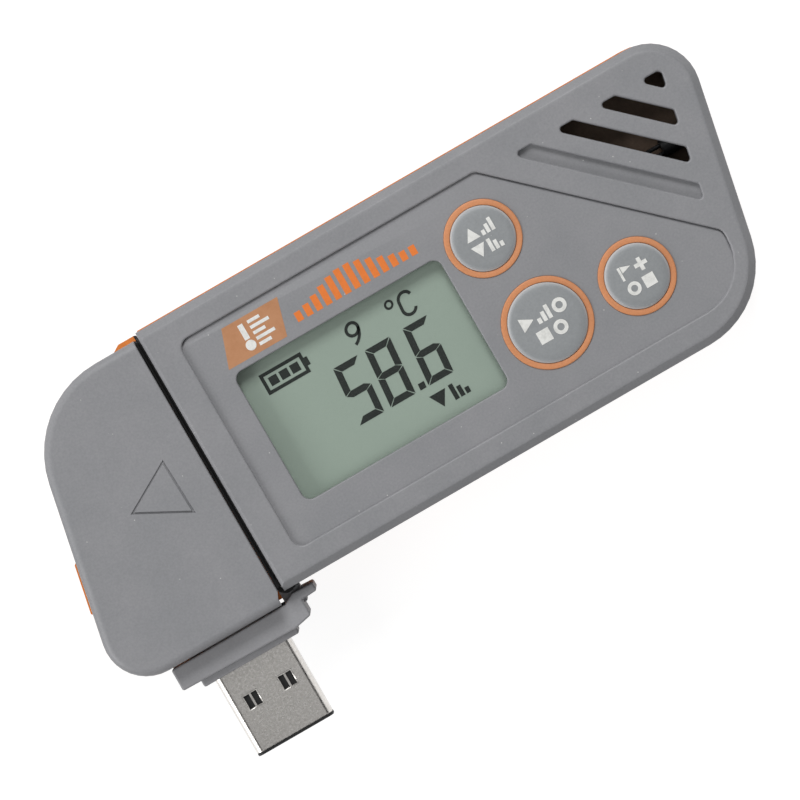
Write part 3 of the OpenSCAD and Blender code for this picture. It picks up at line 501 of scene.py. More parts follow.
# Epoxy of the chips: dark grey and satin, with hardly any grain
CHIP_EPOXY = Moulded("moulded_epoxy_black", "#202124", 0.5, shade="#1A1B1D", cloud=3.0)
# Conductive rubber strips: pink, soft-looking and dull
STRIP_SILICONE = Moulded("extruded_silicone_pink", "#C77E8A", 0.6, shade="#B96F7C", cloud=1.0)
# Nickel-plated steel of the plug: a matt rolled sheet with dull specks
PLUG_STEEL = Metal(
    "rolled_nickel_plated_steel", "#E6E3DF", 0.28, shade="#D3CFCA", stretch=1.5, speck=0.4, speck_depth=0.005
)
# Zinc-plated screws and springs: cool grey with a soft sheen
ZINC_STEEL = Metal("turned_zinc_plated_steel", "#B4B4B2", 0.35, shade="#8F8F8D", stretch=2.0)
# Drawn can of the coin cell: bright, with long fine streaks
CELL_CAN = Metal("drawn_nickel_plated_can", "#C8C8C5", 0.28, shade="#AFAFAC", stretch=20.0)
# Gold-plated spring bronze: warm yellow with a soft gloss
GOLD_PLATE = Metal("stamped_gold_plated_bronze", "#D2AC55", 0.3, shade="#B8903C", stretch=3.0)
# Brushed plate with nothing on it: fine parallel lines under an even sheen
BLANK_PLATE = Metal("brushed_aluminium_plate", "#C2C2C1", 0.38, shade="#A8A8A7", streak=0.12, stretch=60.0)
# White pad print of the keys' signs: flat, a little thin in spots
WHITE_INK = Ink("pad_printed_white_ink", "#EDEDE9", 0.6, thin="#CFCFCB")
# Orange screen print on the panel: strong and even
ORANGE_INK = Ink("screen_printed_orange_ink", "#EE7F30", 0.55, thin="#E07628")
# Thin orange patch, through which the grey shows
PATCH_INK = Ink("screen_printed_patch_ink", "#C18A62", 0.55, thin="#B47C52", blot=2.0)
# Liquid crystal segments: greenish black without an edge of their own
SEGMENT_INK = Ink("liquid_crystal_segments", "#222925", 0.5, thin="#1C221F", blot=3.0)
# Rear polariser of the display: pale grey-green with a pearly shimmer
LCD_POLARISER = Polariser("reflective_polariser", "#AABBAD", 0.45, shade="#9FB0A3")
# Clear window over the display: a faint dark film that mirrors the lamps
LENS_ACRYLIC = Acrylic("cast_acrylic_clear", "#2E3230", 0.05)
# Circuit board: glossy green lacquer with paler tracks under it
BOARD_MASK = SolderMask("solder_masked_epoxy_board", "#2C6A43", 0.35)


# Shaping tools shared by the sub-assemblies


class Sign(Enum):
    """Generic signs that are printed where the object carries marks."""

    UP = "up"
    DOWN = "down"
    RUN = "run"
    HALT = "halt"
    FLAG = "flag"
    PLUS = "plus"
    RISING = "rising bars"
    FALLING = "falling bars"
    RING = "ring"
    THERMOMETER = "thermometer with a scale"


# The signs are given in a square of side 1 round their middle. First the bars of each sign: lower left
# corner, width and height
SIGN_BARS: dict[Sign, Sequence[Bar]] = {
    Sign.HALT: [(-0.42, -0.42, 0.84, 0.84)],
    Sign.FLAG: [(-0.42, -0.5, 0.17, 0.98)],
    Sign.PLUS: [(-0.46, -0.14, 0.92, 0.28), (-0.14, 0.14, 0.28, 0.32), (-0.14, -0.46, 0.28, 0.32)],
    Sign.RISING: [(-0.5, -0.46, 0.26, 0.36), (-0.14, -0.46, 0.26, 0.64), (0.22, -0.46, 0.26, 0.92)],
    Sign.FALLING: [(-0.5, -0.46, 0.26, 0.92), (-0.14, -0.46, 0.26, 0.64), (0.22, -0.46, 0.26, 0.36)],
    Sign.THERMOMETER: [
        (-0.4, -0.09, 0.2, 0.59), (-0.02, -0.5, 0.48, 0.12), (-0.02, -0.28, 0.74, 0.12),
        (-0.02, -0.06, 0.48, 0.12), (-0.02, 0.16, 0.74, 0.12), (-0.02, 0.38, 0.48, 0.12),
    ],
}
# Corners of each sign's plate
SIGN_PLATES: dict[Sign, Sequence[Point]] = {
    Sign.UP: [(-0.5, -0.42), (0.5, -0.42), (0.0, 0.46)],
    Sign.DOWN: [(-0.5, 0.42), (0.0, -0.46), (0.5, 0.42)],
    Sign.RUN: [(-0.4, -0.48), (0.48, 0.0), (-0.4, 0.48)],
    Sign.FLAG: [(-0.2, 0.0), (0.5, 0.24), (-0.2, 0.48)],
}
# Radius and width of the ring, and middle and radius of the thermometer's bulb
SIGN_RING: Point = (0.35, 0.24)
SIGN_BULB: tuple[float, float, float] = (-0.3, -0.32, 0.19)


class InkSheet:
    """Flat marks that are drawn on one level and then raised to thin plates. Places are in mm.

    Attributes:
        shape: The marks' mesh, in metres.
    """

    def __init__(self) -> None:
        """Starts an empty sheet."""
        self.shape = bmesh.new()

    def plate(self, *corners: Point) -> None:
        """Adds a plate with a few corners."""
        self.shape.faces.new([self.shape.verts.new((x * MM, y * MM, 0)) for x, y in corners])

    def bar(self, x: float, y: float, width: float, height: float) -> None:
        """Adds an upright rectangle.

        Args:
            x: Its left side.
            y: Its lower side.
            width: Its width.
            height: Its height.
        """
        place = Matrix.Translation(((x + width / 2) * MM, (y + height / 2) * MM, 0))
        size = Matrix.Diagonal((width * MM, height * MM, 1, 1))
        bmesh.ops.create_grid(self.shape, x_segments=1, y_segments=1, size=0.5, matrix=place @ size)

    def disc(self, centre: Point, radius: float) -> None:
        """Adds a disc.

        Args:
            centre: Its middle.
            radius: Its radius.
        """
        place = Matrix.Translation((centre[0] * MM, centre[1] * MM, 0))
        bmesh.ops.create_circle(
            self.shape, cap_ends=True, segments=DISC_STEPS, radius=radius * MM, matrix=place
        )

    def band(self, centre: Point, radius: float, width: float, start: float = 0, sweep: float = 360) -> None:
        """Adds a curved band.

        Args:
            centre: Middle of its curve.
            radius: Radius of its middle line.
            width: Width of the band.
            start: Direction of its first end, in degrees.
            sweep: Angle that it covers, in degrees.
        """
        first = Vector((math.cos(math.radians(start)), math.sin(math.radians(start)), 0))
        middle = Vector((centre[0], centre[1], 0))
        ends = [self.shape.verts.new((middle + first * (radius + side * width / 2)) * MM) for side in (-1, 1)]
        edge = self.shape.edges.new(ends)
        bmesh.ops.spin(
            self.shape, geom=[*ends, edge], cent=middle * MM, axis=(0, 0, 1), angle=math.radians(sweep),
            steps=round(abs(sweep) / PRINT_STEP), use_merge=abs(sweep) == 360
        )

    def lean(self, degrees: float, foot: float) -> None:
        """Leans all marks over to the right.

        Args:
            degrees: Angle by which they lean.
            foot: Level that stays in place.
        """
        slope = math.tan(math.radians(degrees))
        shear = Matrix(((1, slope, 0, -slope * foot * MM), (0, 1, 0, 0), (0, 0, 1, 0), (0, 0, 0, 1)))
        bmesh.ops.transform(self.shape, matrix=shear, verts=self.shape.verts[:])

    def sign(self, sign: Sign, at: Point, size: float) -> None:
        """Draws a generic sign.

        Args:
            sign: The sign.
            at: Its middle.
            size: Height of the square that it fills.
        """
        for x, y, width, height in SIGN_BARS.get(sign, []):
            self.bar(at[0] + size * x, at[1] + size * y, size * width, size * height)
        if sign in SIGN_PLATES:
            self.plate(*[(at[0] + size * x, at[1] + size * y) for x, y in SIGN_PLATES[sign]])
        if sign is Sign.RING:
            self.band(at, *[size * share for share in SIGN_RING])
        if sign is Sign.THERMOMETER:
            x, y, radius = [size * share for share in SIGN_BULB]
            self.disc((at[0] + x, at[1] + y), radius)

    def raised(self, base: float, thickness: float) -> Shape:
        """Raises the marks to plates.

        Args:
            base: Height of their lower side.
            thickness: Their thickness.

        Returns:
            The plates' mesh, in metres.
        """
        merge(self.shape, SAME_PRINT)
        bmesh.ops.translate(self.shape, vec=(0, 0, base * MM), verts=self.shape.verts[:])
        return thicken(self.shape, Vector((0, 0, thickness * MM)))


def merge(shape: Shape, distance: float) -> None:
    """Merges the points of a shape that are within a distance in mm."""
    bmesh.ops.remove_doubles(shape, verts=shape.verts[:], dist=distance * MM)


def thicken(shape: Shape, step: Vector) -> Shape:
    """Gives flat faces a thickness.

    Args:
        shape: The faces, in metres.
        step: The way from them to their other side, in metres.

    Returns:
        The same shape, closed.
    """
    raised = bmesh.ops.extrude_face_region(shape, geom=shape.faces[:], use_keep_orig=True)
    moved = [v for v in raised["geom"] if isinstance(v, bmesh.types.BMVert)]
    bmesh.ops.translate(shape, vec=step, verts=moved)
    bmesh.ops.recalc_face_normals(shape, faces=shape.faces[:])
    return shape


def turned(profile: Sequence[Point], at: Point, steps: int) -> Shape:
    """Body of revolution round an upright axis.

    Args:
        profile: Radius and height of each point, in mm. A closed profile repeats its first point.
        at: Place of the axis, in mm.
        steps: Number of steps in a full turn.

    Returns:
        The body's mesh, in metres.
    """
    shape = bmesh.new()
    verts = [shape.verts.new(((at[0] + r) * MM, at[1] * MM, z * MM)) for r, z in profile]
    edges = [shape.edges.new(pair) for pair in zip(verts, verts[1:])]
    bmesh.ops.spin(
        shape, geom=verts + edges, cent=(at[0] * MM, at[1] * MM, 0), axis=(0, 0, 1),
        angle=math.tau, steps=steps, use_merge=True
    )
    merge(shape, SAME_TURNED)
    bmesh.ops.recalc_face_normals(shape, faces=shape.faces[:])
    return shape


def cad_copy(node: str) -> Shape:
    """Copy of a CAD node with its loose triangles merged and its flat areas joined.

    Args:
        node: The node.

    Returns:
        The copy, in metres.
    """
    shape = bmesh.new()
    shape.from_mesh(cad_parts[node].data)
    merge(shape, SAME_CAD)
    bmesh.ops.dissolve_limit(shape, angle_limit=FLAT, verts=shape.verts[:], edges=shape.edges[:])
    return shape


def new_object(shape: Shape, name: str) -> bpy.types.Object:
    """Brings a shape into the scene.

    Args:
        shape: The shape, which is freed.
        name: Name of its object and mesh.

    Returns:
        The object.
    """
    mesh = bpy.data.meshes.new(name)
    shape.to_mesh(mesh)
    shape.free()
    made = bpy.data.objects.new(name, mesh)
    bpy.context.scene.collection.objects.link(made)
    return made


def soften(shape: Shape, width: float, chosen: Test, sharper_than: float = 40.0) -> None:
    """Rounds the sharp outward edges of a shape in one region.

    Args:
        shape: The shape, in metres.
        width: Width of the rounding, in mm.
        chosen: Says of a point in mm whether it is in the region. Both ends of an edge must be.
        sharper_than: Smallest angle between faces that counts as sharp, in degrees.
    """
    edges = [
        e for e in shape.edges
        if len(e.link_faces) == 2 and e.is_convex and e.calc_face_angle(0) > math.radians(sharper_than)
        and all(chosen(v.co / MM) for v in e.verts)
    ]
    bmesh.ops.bevel(
        shape, geom=edges, offset=width * MM, offset_type="OFFSET", affect="EDGES", segments=3,
        profile=0.5, material=-1, clamp_overlap=False
    )


def end_face(node: str, axis: int, level: float, depth: float) -> Shape:
    """Plate with the outline of a CAD node's flat end.

    Args:
        node: The node.
        axis: Axis across the end, 0 for X and 1 for Y.
        level: Place of the end along that axis, in mm.
        depth: Distance from the end to the plate's other side, in mm.

    Returns:
        The plate's mesh, in metres.
    """
    shape = cad_copy(node)
    others = [f for f in shape.faces if any(abs(v.co[axis] / MM - level) > NEAR for v in f.verts)]
    bmesh.ops.delete(shape, geom=others, context="FACES")
    return thicken(shape, Vector([depth * MM if k == axis else 0.0 for k in range(3)]))


def at_height(z: float) -> Test:
    """Test that is true for points at the height z, in mm."""
    return lambda p: abs(p.z - z) < NEAR


def anywhere(_point: Vector) -> bool:
    """Test that is true for every point."""
    return True


def node_box(node: str) -> Box:
    """Lowest and highest corner of a CAD node, in mm."""
    low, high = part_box(node)
    return low / MM, high / MM


@dataclass
class SubAssembly(ABC):
    """A group of pieces that are made together.

    Attributes:
        body: The CAD body that its pieces ride on.
        made: Names of the pieces made so far.
    """

    body: str
    made: list[str] = field(default_factory=list, init=False)

    @abstractmethod
    def build(self) -> None:
        """Makes every piece of the group."""

    def add(
        self, shape: Shape, name: str, finish: Finish, slot: str, replaces: Sequence[str] = (),
        smooth: float = 35.0, body: str | None = None
    ) -> None:
        """Makes a piece of a shape, dresses it and lets it ride on its body.

        Args:
            shape: The shape, which is freed.
            name: Name of the piece.
            finish: Its finish.
            slot: The record's material slot; not used.
            replaces: CAD nodes that it stands for.
            smooth: Largest angle between faces that is shaded smooth, in degrees.
            body: The CAD body, if it isn't the group's own.
        """
        piece = new_object(shape, name)
        piece.data.shade_smooth()
        piece.data.set_sharp_from_angle(angle=math.radians(smooth))
        piece.data.materials.append(finish.material())
        piece.modifiers.new("even_shading", "WEIGHTED_NORMAL").keep_sharp = True
        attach(piece, body or self.body)
        if replaces:
            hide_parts(*replaces)
        self.made.append(name)
        LOG.info("made %s with %d faces", name, len(piece.data.polygons))

    def mould(self, node: str, name: str, finish: Finish, slot: str, *rounds: tuple[float, Test]) -> None:
        """Makes a piece with the shape of a CAD node, for which it stands, and rounds its edges.

        Args:
            node: The node.
            name: Name of the piece.
            finish: Its finish.
            slot: The record's material slot.
            *rounds: Width in mm of each rounding, and the test for its edges' points.
        """
        shape = cad_copy(node)
        for width, chosen in rounds:
            soften(shape, width, chosen)
        self.add(shape, name, finish, slot, [node])

    def dress_nodes(self, finish: Finish, *nodes: str) -> None:
        """Gives CAD nodes, which stay as they are, their finish.

        Args:
            finish: The finish.
            *nodes: The nodes.
        """
        for node in nodes:
            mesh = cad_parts[node].data
            mesh.materials.clear()
            mesh.materials.append(finish.material())
            self.made.append(node)
            LOG.info("dressed %s", node)


# Sub-assemblies


@dataclass
class Case(SubAssembly):
    """Front and rear shell with what holds and seals them.

    Attributes:
        face_round: Rounding of the edges on the front face, in mm.
        panel_round: Rounding of the edges on the sunk panel, in mm.
        rear_round: Rounding of the edges on the rear face, in mm.
        edge_radius: Radius of the CAD's round outer edge on the front face, in mm.
        edge_slope: Least and greatest upright share of the normals of its slanted faces.
        edge_rise: Least and greatest height of its points over its foot, as shares of its radius.
        edge_rows: The same edge as a chamfer with soft corners: at each row of the round edge, the
            distance in from the side and down from the front face, in mm.
        end_band: Width of the chamfer at the cap end, in mm.
        groove: Width and depth of the groove at the foot of the sunk panel's wall, in mm.
        groove_lip: Height of the groove's upper edge over the panel, in mm.
        groove_side: Direction from the panel's middle to the sides that have the groove.
        facing: Smallest share of a wall's normal against that direction for it to have the groove.
        wall_angle: Smallest angle between panel and wall, in degrees.
    """

    body: str = "case"
    face_round: float = 0.28
    panel_round: float = 0.2
    rear_round: float = 0.2
    edge_radius: float = 1.5
    edge_slope: Point = (0.05, 0.97)
    edge_rise: Point = (0.01, 0.999)
    edge_rows: tuple[Point, ...] = ((0.0, 1.25), (0.1, 1.0), (1.0, 0.1), (1.15, 0.0))
    end_band: float = 0.45
    groove: float = 0.3
    groove_lip: float = 0.075
    groove_side: Point = (0.5, 0.87)
    facing: float = 0.05
    wall_angle: float = 57.0

    def build(self) -> None:
        """Makes both shells and dresses the rest."""
        self.front()
        self.mould(
            "rear_shell", "rear_shell_moulding", ORANGE_ABS, "orange_shell", (self.rear_round, at_height(0.0))
        )
        self.mould("case_screws", "case_screw_heads", ZINC_STEEL, "screw_steel")
        self.dress_nodes(BLACK_RUBBER, "case_seal")
        self.dress_nodes(BLANK_PLATE, "rear_plate")

    def front(self) -> None:
        """Makes the front shell with its chamfer and rounded panel, window and vent edges."""
        shape = cad_copy("front_shell")
        face = node_box("front_shell")[1].z
        panel = face - FaceMarks.panel_depth
        self.chamfer(shape)
        soften(shape, self.face_round, at_height(face))
        soften(shape, self.panel_round, at_height(panel))
        self.undercut(shape, panel)
        self.add(shape, "front_shell_moulding", GREY_ABS, "grey_shell", ["front_shell"])

    def chamfer(self, shape: Shape) -> None:
        """Turns the front shell's round outer edge into a chamfer with soft corners.

        Args:
            shape: The front shell, in metres.
        """
        low, high = node_box("front_shell")
        bmesh.ops.bisect_plane(
            shape, geom=[*shape.verts, *shape.edges, *shape.faces], dist=SAME_CAD * MM,
            plane_co=((low.x + self.end_band) * MM, 0, 0), plane_no=(1, 0, 0)
        )
        shape.normal_update()
        moves: dict[bmesh.types.BMVert, Vector] = {}
        for vertex in shape.verts:
            point = vertex.co / MM
            rise = (point.z - high.z) / self.edge_radius + 1
            slopes = [
                f.normal.xy.normalized() for f in vertex.link_faces
                if self.edge_slope[0] < f.normal.z < self.edge_slope[1]
            ]
            if slopes and self.edge_rise[0] < rise < self.edge_rise[1]:
                moves[vertex] = self.chamfered(point, rise, slopes, (low, high)) * MM
        for vertex, place in moves.items():
            vertex.co = place
        merge(shape, SAME_MOVED)

    def chamfered(self, point: Vector, rise: float, slopes: Sequence[Vector], box: Box) -> Vector:
        """Place on the chamfer for a point of the round edge.

        Args:
            point: The point, in mm.
            rise: Its height over the round edge's foot, as a share of the radius.
            slopes: Level directions out of the slanted faces at the point.
            box: Lowest and highest corner of the front shell, in mm.

        Returns:
            The place, in mm.
        """
        low, high = box
        rows = len(self.edge_rows)
        row = round(math.degrees(math.asin(rise)) / 90 * (rows + 1)) - 1
        inset, drop = self.edge_rows[row]
        band = low.x + self.end_band
        if point.x < low.x + NEAR:
            # On the cap end, the upper rows slide down the slanted face to the end's own chamfer
            if row > 1:
                slant = sum(self.edge_rows[2])
                inset = slant - self.end_band - (self.edge_rows[1][0] if row < rows - 1 else 0.0)
                drop = slant - inset
            place = Vector((point.x, math.copysign(high.y - inset, point.y)))
        elif row == rows - 1 and point.x < band + NEAR:
            # Beside that chamfer, the uppermost row meets it in a mitre
            place = Vector((band, math.copysign(min(abs(point.y), high.y - inset), point.y)))
        else:
            # Elsewhere a point moves level, by the same distance from both sides of a corner
            first, last = min(((a, b) for a in slopes for b in slopes), key=lambda pair: pair[0].dot(pair[1]))
            outward = (first + last) / (1 + first.dot(last))
            round_inset = self.edge_radius * (1 - math.sqrt(1 - rise * rise))
            place = point.xy + outward * (round_inset - inset)
        return Vector((place.x, place.y, high.z - drop))

    def undercut(self, shape: Shape, panel: float) -> None:
        """Sinks a small groove along the sunk panel's upper and right sides, at the foot of its wall.

        Args:
            shape: The front shell, in metres.
            panel: Height of the panel, in mm.
        """
        level = at_height(panel)
        shape.normal_update()
        foot = [
            e for e in shape.edges
            if len(e.link_faces) == 2 and not e.is_convex
            and e.calc_face_angle(0) > math.radians(self.wall_angle)
            and all(level(v.co / MM) for v in e.verts)
            and min(f.normal.xy.dot(self.groove_side) for f in e.link_faces) < -self.facing
        ]
        made = bmesh.ops.bevel(
            shape, geom=foot, offset=self.groove * MM, offset_type="OFFSET", affect="EDGES", segments=2,
            profile=0.5, material=-1, clamp_overlap=False
        )
        heights = {vertex: vertex.co.z / MM - panel for vertex in made["verts"]}
        # The bevel's middle row becomes the groove's bottom, and its upper row comes down over it
        for vertex, height in heights.items():
            if NEAR < height < self.groove - NEAR:
                wall = max((e.other_vert(vertex) for e in vertex.link_edges), key=lambda v: v.co.z)
                vertex.co = Vector((wall.co.x, wall.co.y, (panel - self.groove) * MM))
        for vertex, height in heights.items():
            if height > self.groove - NEAR:
                vertex.co.z = (panel + self.groove_lip) * MM


@dataclass
class FaceMarks(SubAssembly):
    """Print on the sunk panel over the display: an orange patch with a pictogram, and a bar trace.

    Attributes:
        panel_depth: Depth of the sunk panel.
        ink: Thickness of the print.
        patch: Corners of the patch, measured from the window's upper left corner.
        pictogram_at: Middle of the pictogram, measured from the same corner.
        pictogram_h: Height of the pictogram.
        trace_start: Distance from the window's left side to the first bar.
        trace_foot: Height of the bars' foot over the window.
        bar_count: Number of bars.
        bar_pitch: Distance between bars.
        bar_width: Width of a bar.
        bar_height: Height that the tallest bar can reach.
        swell: Mean height of the bars and how far they rise and fall from it, as shares of that.
    """

    body: str = "case"
    panel_depth: float = 0.5
    ink: float = 0.03
    patch: tuple[Point, ...] = ((-0.1, 0.9), (9.1, 0.9), (10.6, 6.3), (1.8, 6.3))
    pictogram_at: Point = (5.4, 3.6)
    pictogram_h: float = 3.9
    trace_start: float = 11.4
    trace_foot: float = 1.8
    bar_count: int = 13
    bar_pitch: float = 1.5
    bar_width: float = 0.95
    bar_height: float = 3.8
    swell: Point = (0.68, 0.32)

    def build(self) -> None:
        """Prints the patch, its pictogram and the trace."""
        low, high = Display.window()
        left, top = low.x, high.y
        base = node_box("front_shell")[1].z - self.panel_depth - self.ink / 2
        patch, pictogram, trace = InkSheet(), InkSheet(), InkSheet()
        patch.plate(*[(left + x, top + y) for x, y in self.patch])
        at = left + self.pictogram_at[0], top + self.pictogram_at[1]
        pictogram.sign(Sign.THERMOMETER, at, self.pictogram_h)
        for k in range(self.bar_count):
            wave = math.cos(math.tau * (k + 0.5) / (self.bar_count - 1))
            height = self.bar_height * (self.swell[0] - self.swell[1] * wave)
            side = left + self.trace_start + k * self.bar_pitch
            trace.bar(side, top + self.trace_foot, self.bar_width, height)
        self.add(patch.raised(base, self.ink), "patch_print", PATCH_INK, "orange_rubber")
        self.add(pictogram.raised(base + self.ink, self.ink), "pictogram_print", WHITE_INK, "button_grey")
        self.add(trace.raised(base, self.ink), "trace_print", ORANGE_INK, "orange_rubber")


@dataclass
class Display(SubAssembly):
    """Liquid crystal display with its segments, and the window over it.

    Attributes:
        margin: How far the display's glass passes the window on each side.
        stroke: Width of a large digit's segments.
        digit_w: Width of a large digit.
        digit_h: Height of a large digit.
        digit_gap: Gap between neighbouring segments.
        digit_mitre: How far a segment's slanted end stands back from its neighbour's.
        lean: Lean of the digits, in degrees.
        digit_starts: Left side of each large digit, measured from the window's left side.
        digit_foot: Height of the digits' foot over the window's lower side.
        point_gap: Gap between the decimal point and the digit after it.
        ink: Thickness of the segments.
        number: The number that is shown.
        unit_bands: Degree ring, the unit's two curves, and bowl and tail of a small figure: middle,
            measured from the window's upper left corner, radius, width, start and sweep in degrees.
        unit_bars: Straight part of the unit: lower left corner from the same corner, width and height.
        battery_bars: Frame, terminal and three cells of the battery sign, given in the same way.
        unit_foot: Level that stays in place when these signs lean over, from the upper side.
        limit_at: Middle of the low-limit sign, measured from the window's lower left corner.
        limit_size: Height of the low-limit sign.
        limit_pitch: Distance between its two halves, as a share of its height.
    """

    body: str = "case"
    margin: float = 0.6
    stroke: float = 0.95
    digit_w: float = 3.95
    digit_h: float = 8.6
    digit_gap: float = 0.1
    digit_mitre: float = 0.06
    lean: float = 5.0
    digit_starts: tuple[float, ...] = (11.5, 16.5, 22.5)
    digit_foot: float = 5.4
    point_gap: float = 0.35
    ink: float = 0.03
    number: str = "586"
    unit_bands: tuple[Band, ...] = (
        (23.2, -2.3, 0.52, 0.32, 0, 360),
        (25.6, -2.75, 1.0, 0.44, 20, 160), (25.6, -3.95, 1.0, 0.44, 180, 160),
        (17.2, -2.7, 0.88, 0.44, 0, 360), (15.68, -2.7, 2.4, 0.44, 0, -62),
    )
    unit_bars: tuple[Bar, ...] = ((24.38, -3.95, 0.44, 1.2),)
    battery_bars: tuple[Bar, ...] = (
        (2.9, -4.9, 6.6, 0.5), (2.9, -2.3, 6.6, 0.5), (2.9, -4.4, 0.5, 2.1), (9.0, -4.4, 0.5, 2.1),
        (9.5, -3.97, 0.5, 1.24), (3.85, -4.0, 1.3, 1.3), (5.53, -4.0, 1.3, 1.3), (7.21, -4.0, 1.3, 1.3),
    )
    unit_foot: float = -3.35
    limit_at: Point = (23.0, 3.0)
    limit_size: float = 2.5
    limit_pitch: float = 1.2

    @classmethod
    def window(cls) -> Box:
        """Finds the part of the display's glass that the case leaves open.

        Returns:
            Its lowest and highest corner, in mm.
        """
        margin = Vector((cls.margin, cls.margin, 0))
        low, high = node_box("lcd_panel")
        return low + margin, high - margin

    def build(self) -> None:
        """Dresses the glass and lays the segments on it."""
        self.dress_nodes(LCD_POLARISER, "lcd_panel")
        self.dress_nodes(BLACK_POLYAMIDE, "lcd_frame")
        self.dress_nodes(STRIP_SILICONE, "lcd_connectors")
        self.dress_nodes(LENS_ACRYLIC, "display_lens")
        low, high = self.window()
        unit = self.upper_sign(self.unit_bars, self.unit_bands)
        unit.lean(self.lean, high.y + self.unit_foot)
        sheets = {
            "display_digits": self.digits(low), "display_unit": unit,
            "display_battery": self.upper_sign(self.battery_bars), "display_limit": self.limit(low)
        }
        for name, sheet in sheets.items():
            self.add(sheet.raised(high.z, self.ink), name, SEGMENT_INK, "lcd_glass")

    def digits(self, low: Vector) -> InkSheet:
        """The large number with its point.

        Args:
            low: Lower left corner of the window.

        Returns:
            The sheet with the lit segments.
        """
        foot = low.y + self.digit_foot
        sheet = InkSheet()
        for start, figure in zip(self.digit_starts, self.number):
            for segment in self.lit(figure):
                sheet.plate(*[(low.x + start + x, foot + y) for x, y in segment])
        point_x = low.x + self.digit_starts[2] - self.stroke - self.point_gap
        sheet.bar(point_x, foot, self.stroke, self.stroke)
        sheet.lean(self.lean, foot)
        return sheet

    def lit(self, figure: str) -> list[list[Point]]:
        """Lit segments of a figure.

        Args:
            figure: The figure.

        Returns:
            Corners of each segment, in a cell whose lower left corner is the origin.
        """
        w, h, m, t = self.digit_w, self.digit_h, self.digit_h / 2, self.stroke
        g, e = self.digit_gap, self.digit_mitre
        segments = {
            "a": [(g, h), (w - g, h), (w - t - e, h - t), (t + e, h - t)],
            "b": [(w, h - g), (w - t, h - t - e), (w - t, m + t / 2 + e), (w, m + g)],
            "c": [(w, m - g), (w - t, m - t / 2 - e), (w - t, t + e), (w, g)],
            "d": [(g, 0), (t + e, t), (w - t - e, t), (w - g, 0)],
            "e": [(0, g), (0, m - g), (t, m - t / 2 - e), (t, t + e)],
            "f": [(0, m + g), (0, h - g), (t, h - t - e), (t, m + t / 2 + e)],
            "g": [(g, m), (t, m - t / 2), (w - t, m - t / 2), (w - g, m), (w - t, m + t / 2), (t, m + t / 2)],
        }
        lit = {"5": "acdfg", "8": "abcdefg", "6": "acdefg"}
        return [segments[name] for name in lit[figure]]

    def upper_sign(self, bars: Sequence[Bar], bands: Sequence[Band] = ()) -> InkSheet:
        """Sign at the window's upper side.

        Args:
            bars: Its bars, as unit_bars has them.
            bands: Its bands, as unit_bands has them.

        Returns:
            The sheet with the sign.
        """
        low, high = self.window()
        sheet = InkSheet()
        for x, y, radius, width, start, sweep in bands:
            sheet.band((low.x + x, high.y + y), radius, width, start, sweep)
        for x, y, width, height in bars:
            sheet.bar(low.x + x, high.y + y, width, height)
        return sheet

    def limit(self, low: Vector) -> InkSheet:
        """Low-limit sign under the last digit.

        Args:
            low: Lower left corner of the window.

        Returns:
            The sheet with the sign.
        """
        sheet = InkSheet()
        x, y = low.x + self.limit_at[0], low.y + self.limit_at[1]
        sheet.sign(Sign.DOWN, (x, y), self.limit_size)
        sheet.sign(Sign.FALLING, (x + self.limit_pitch * self.limit_size, y), self.limit_size)
        return sheet


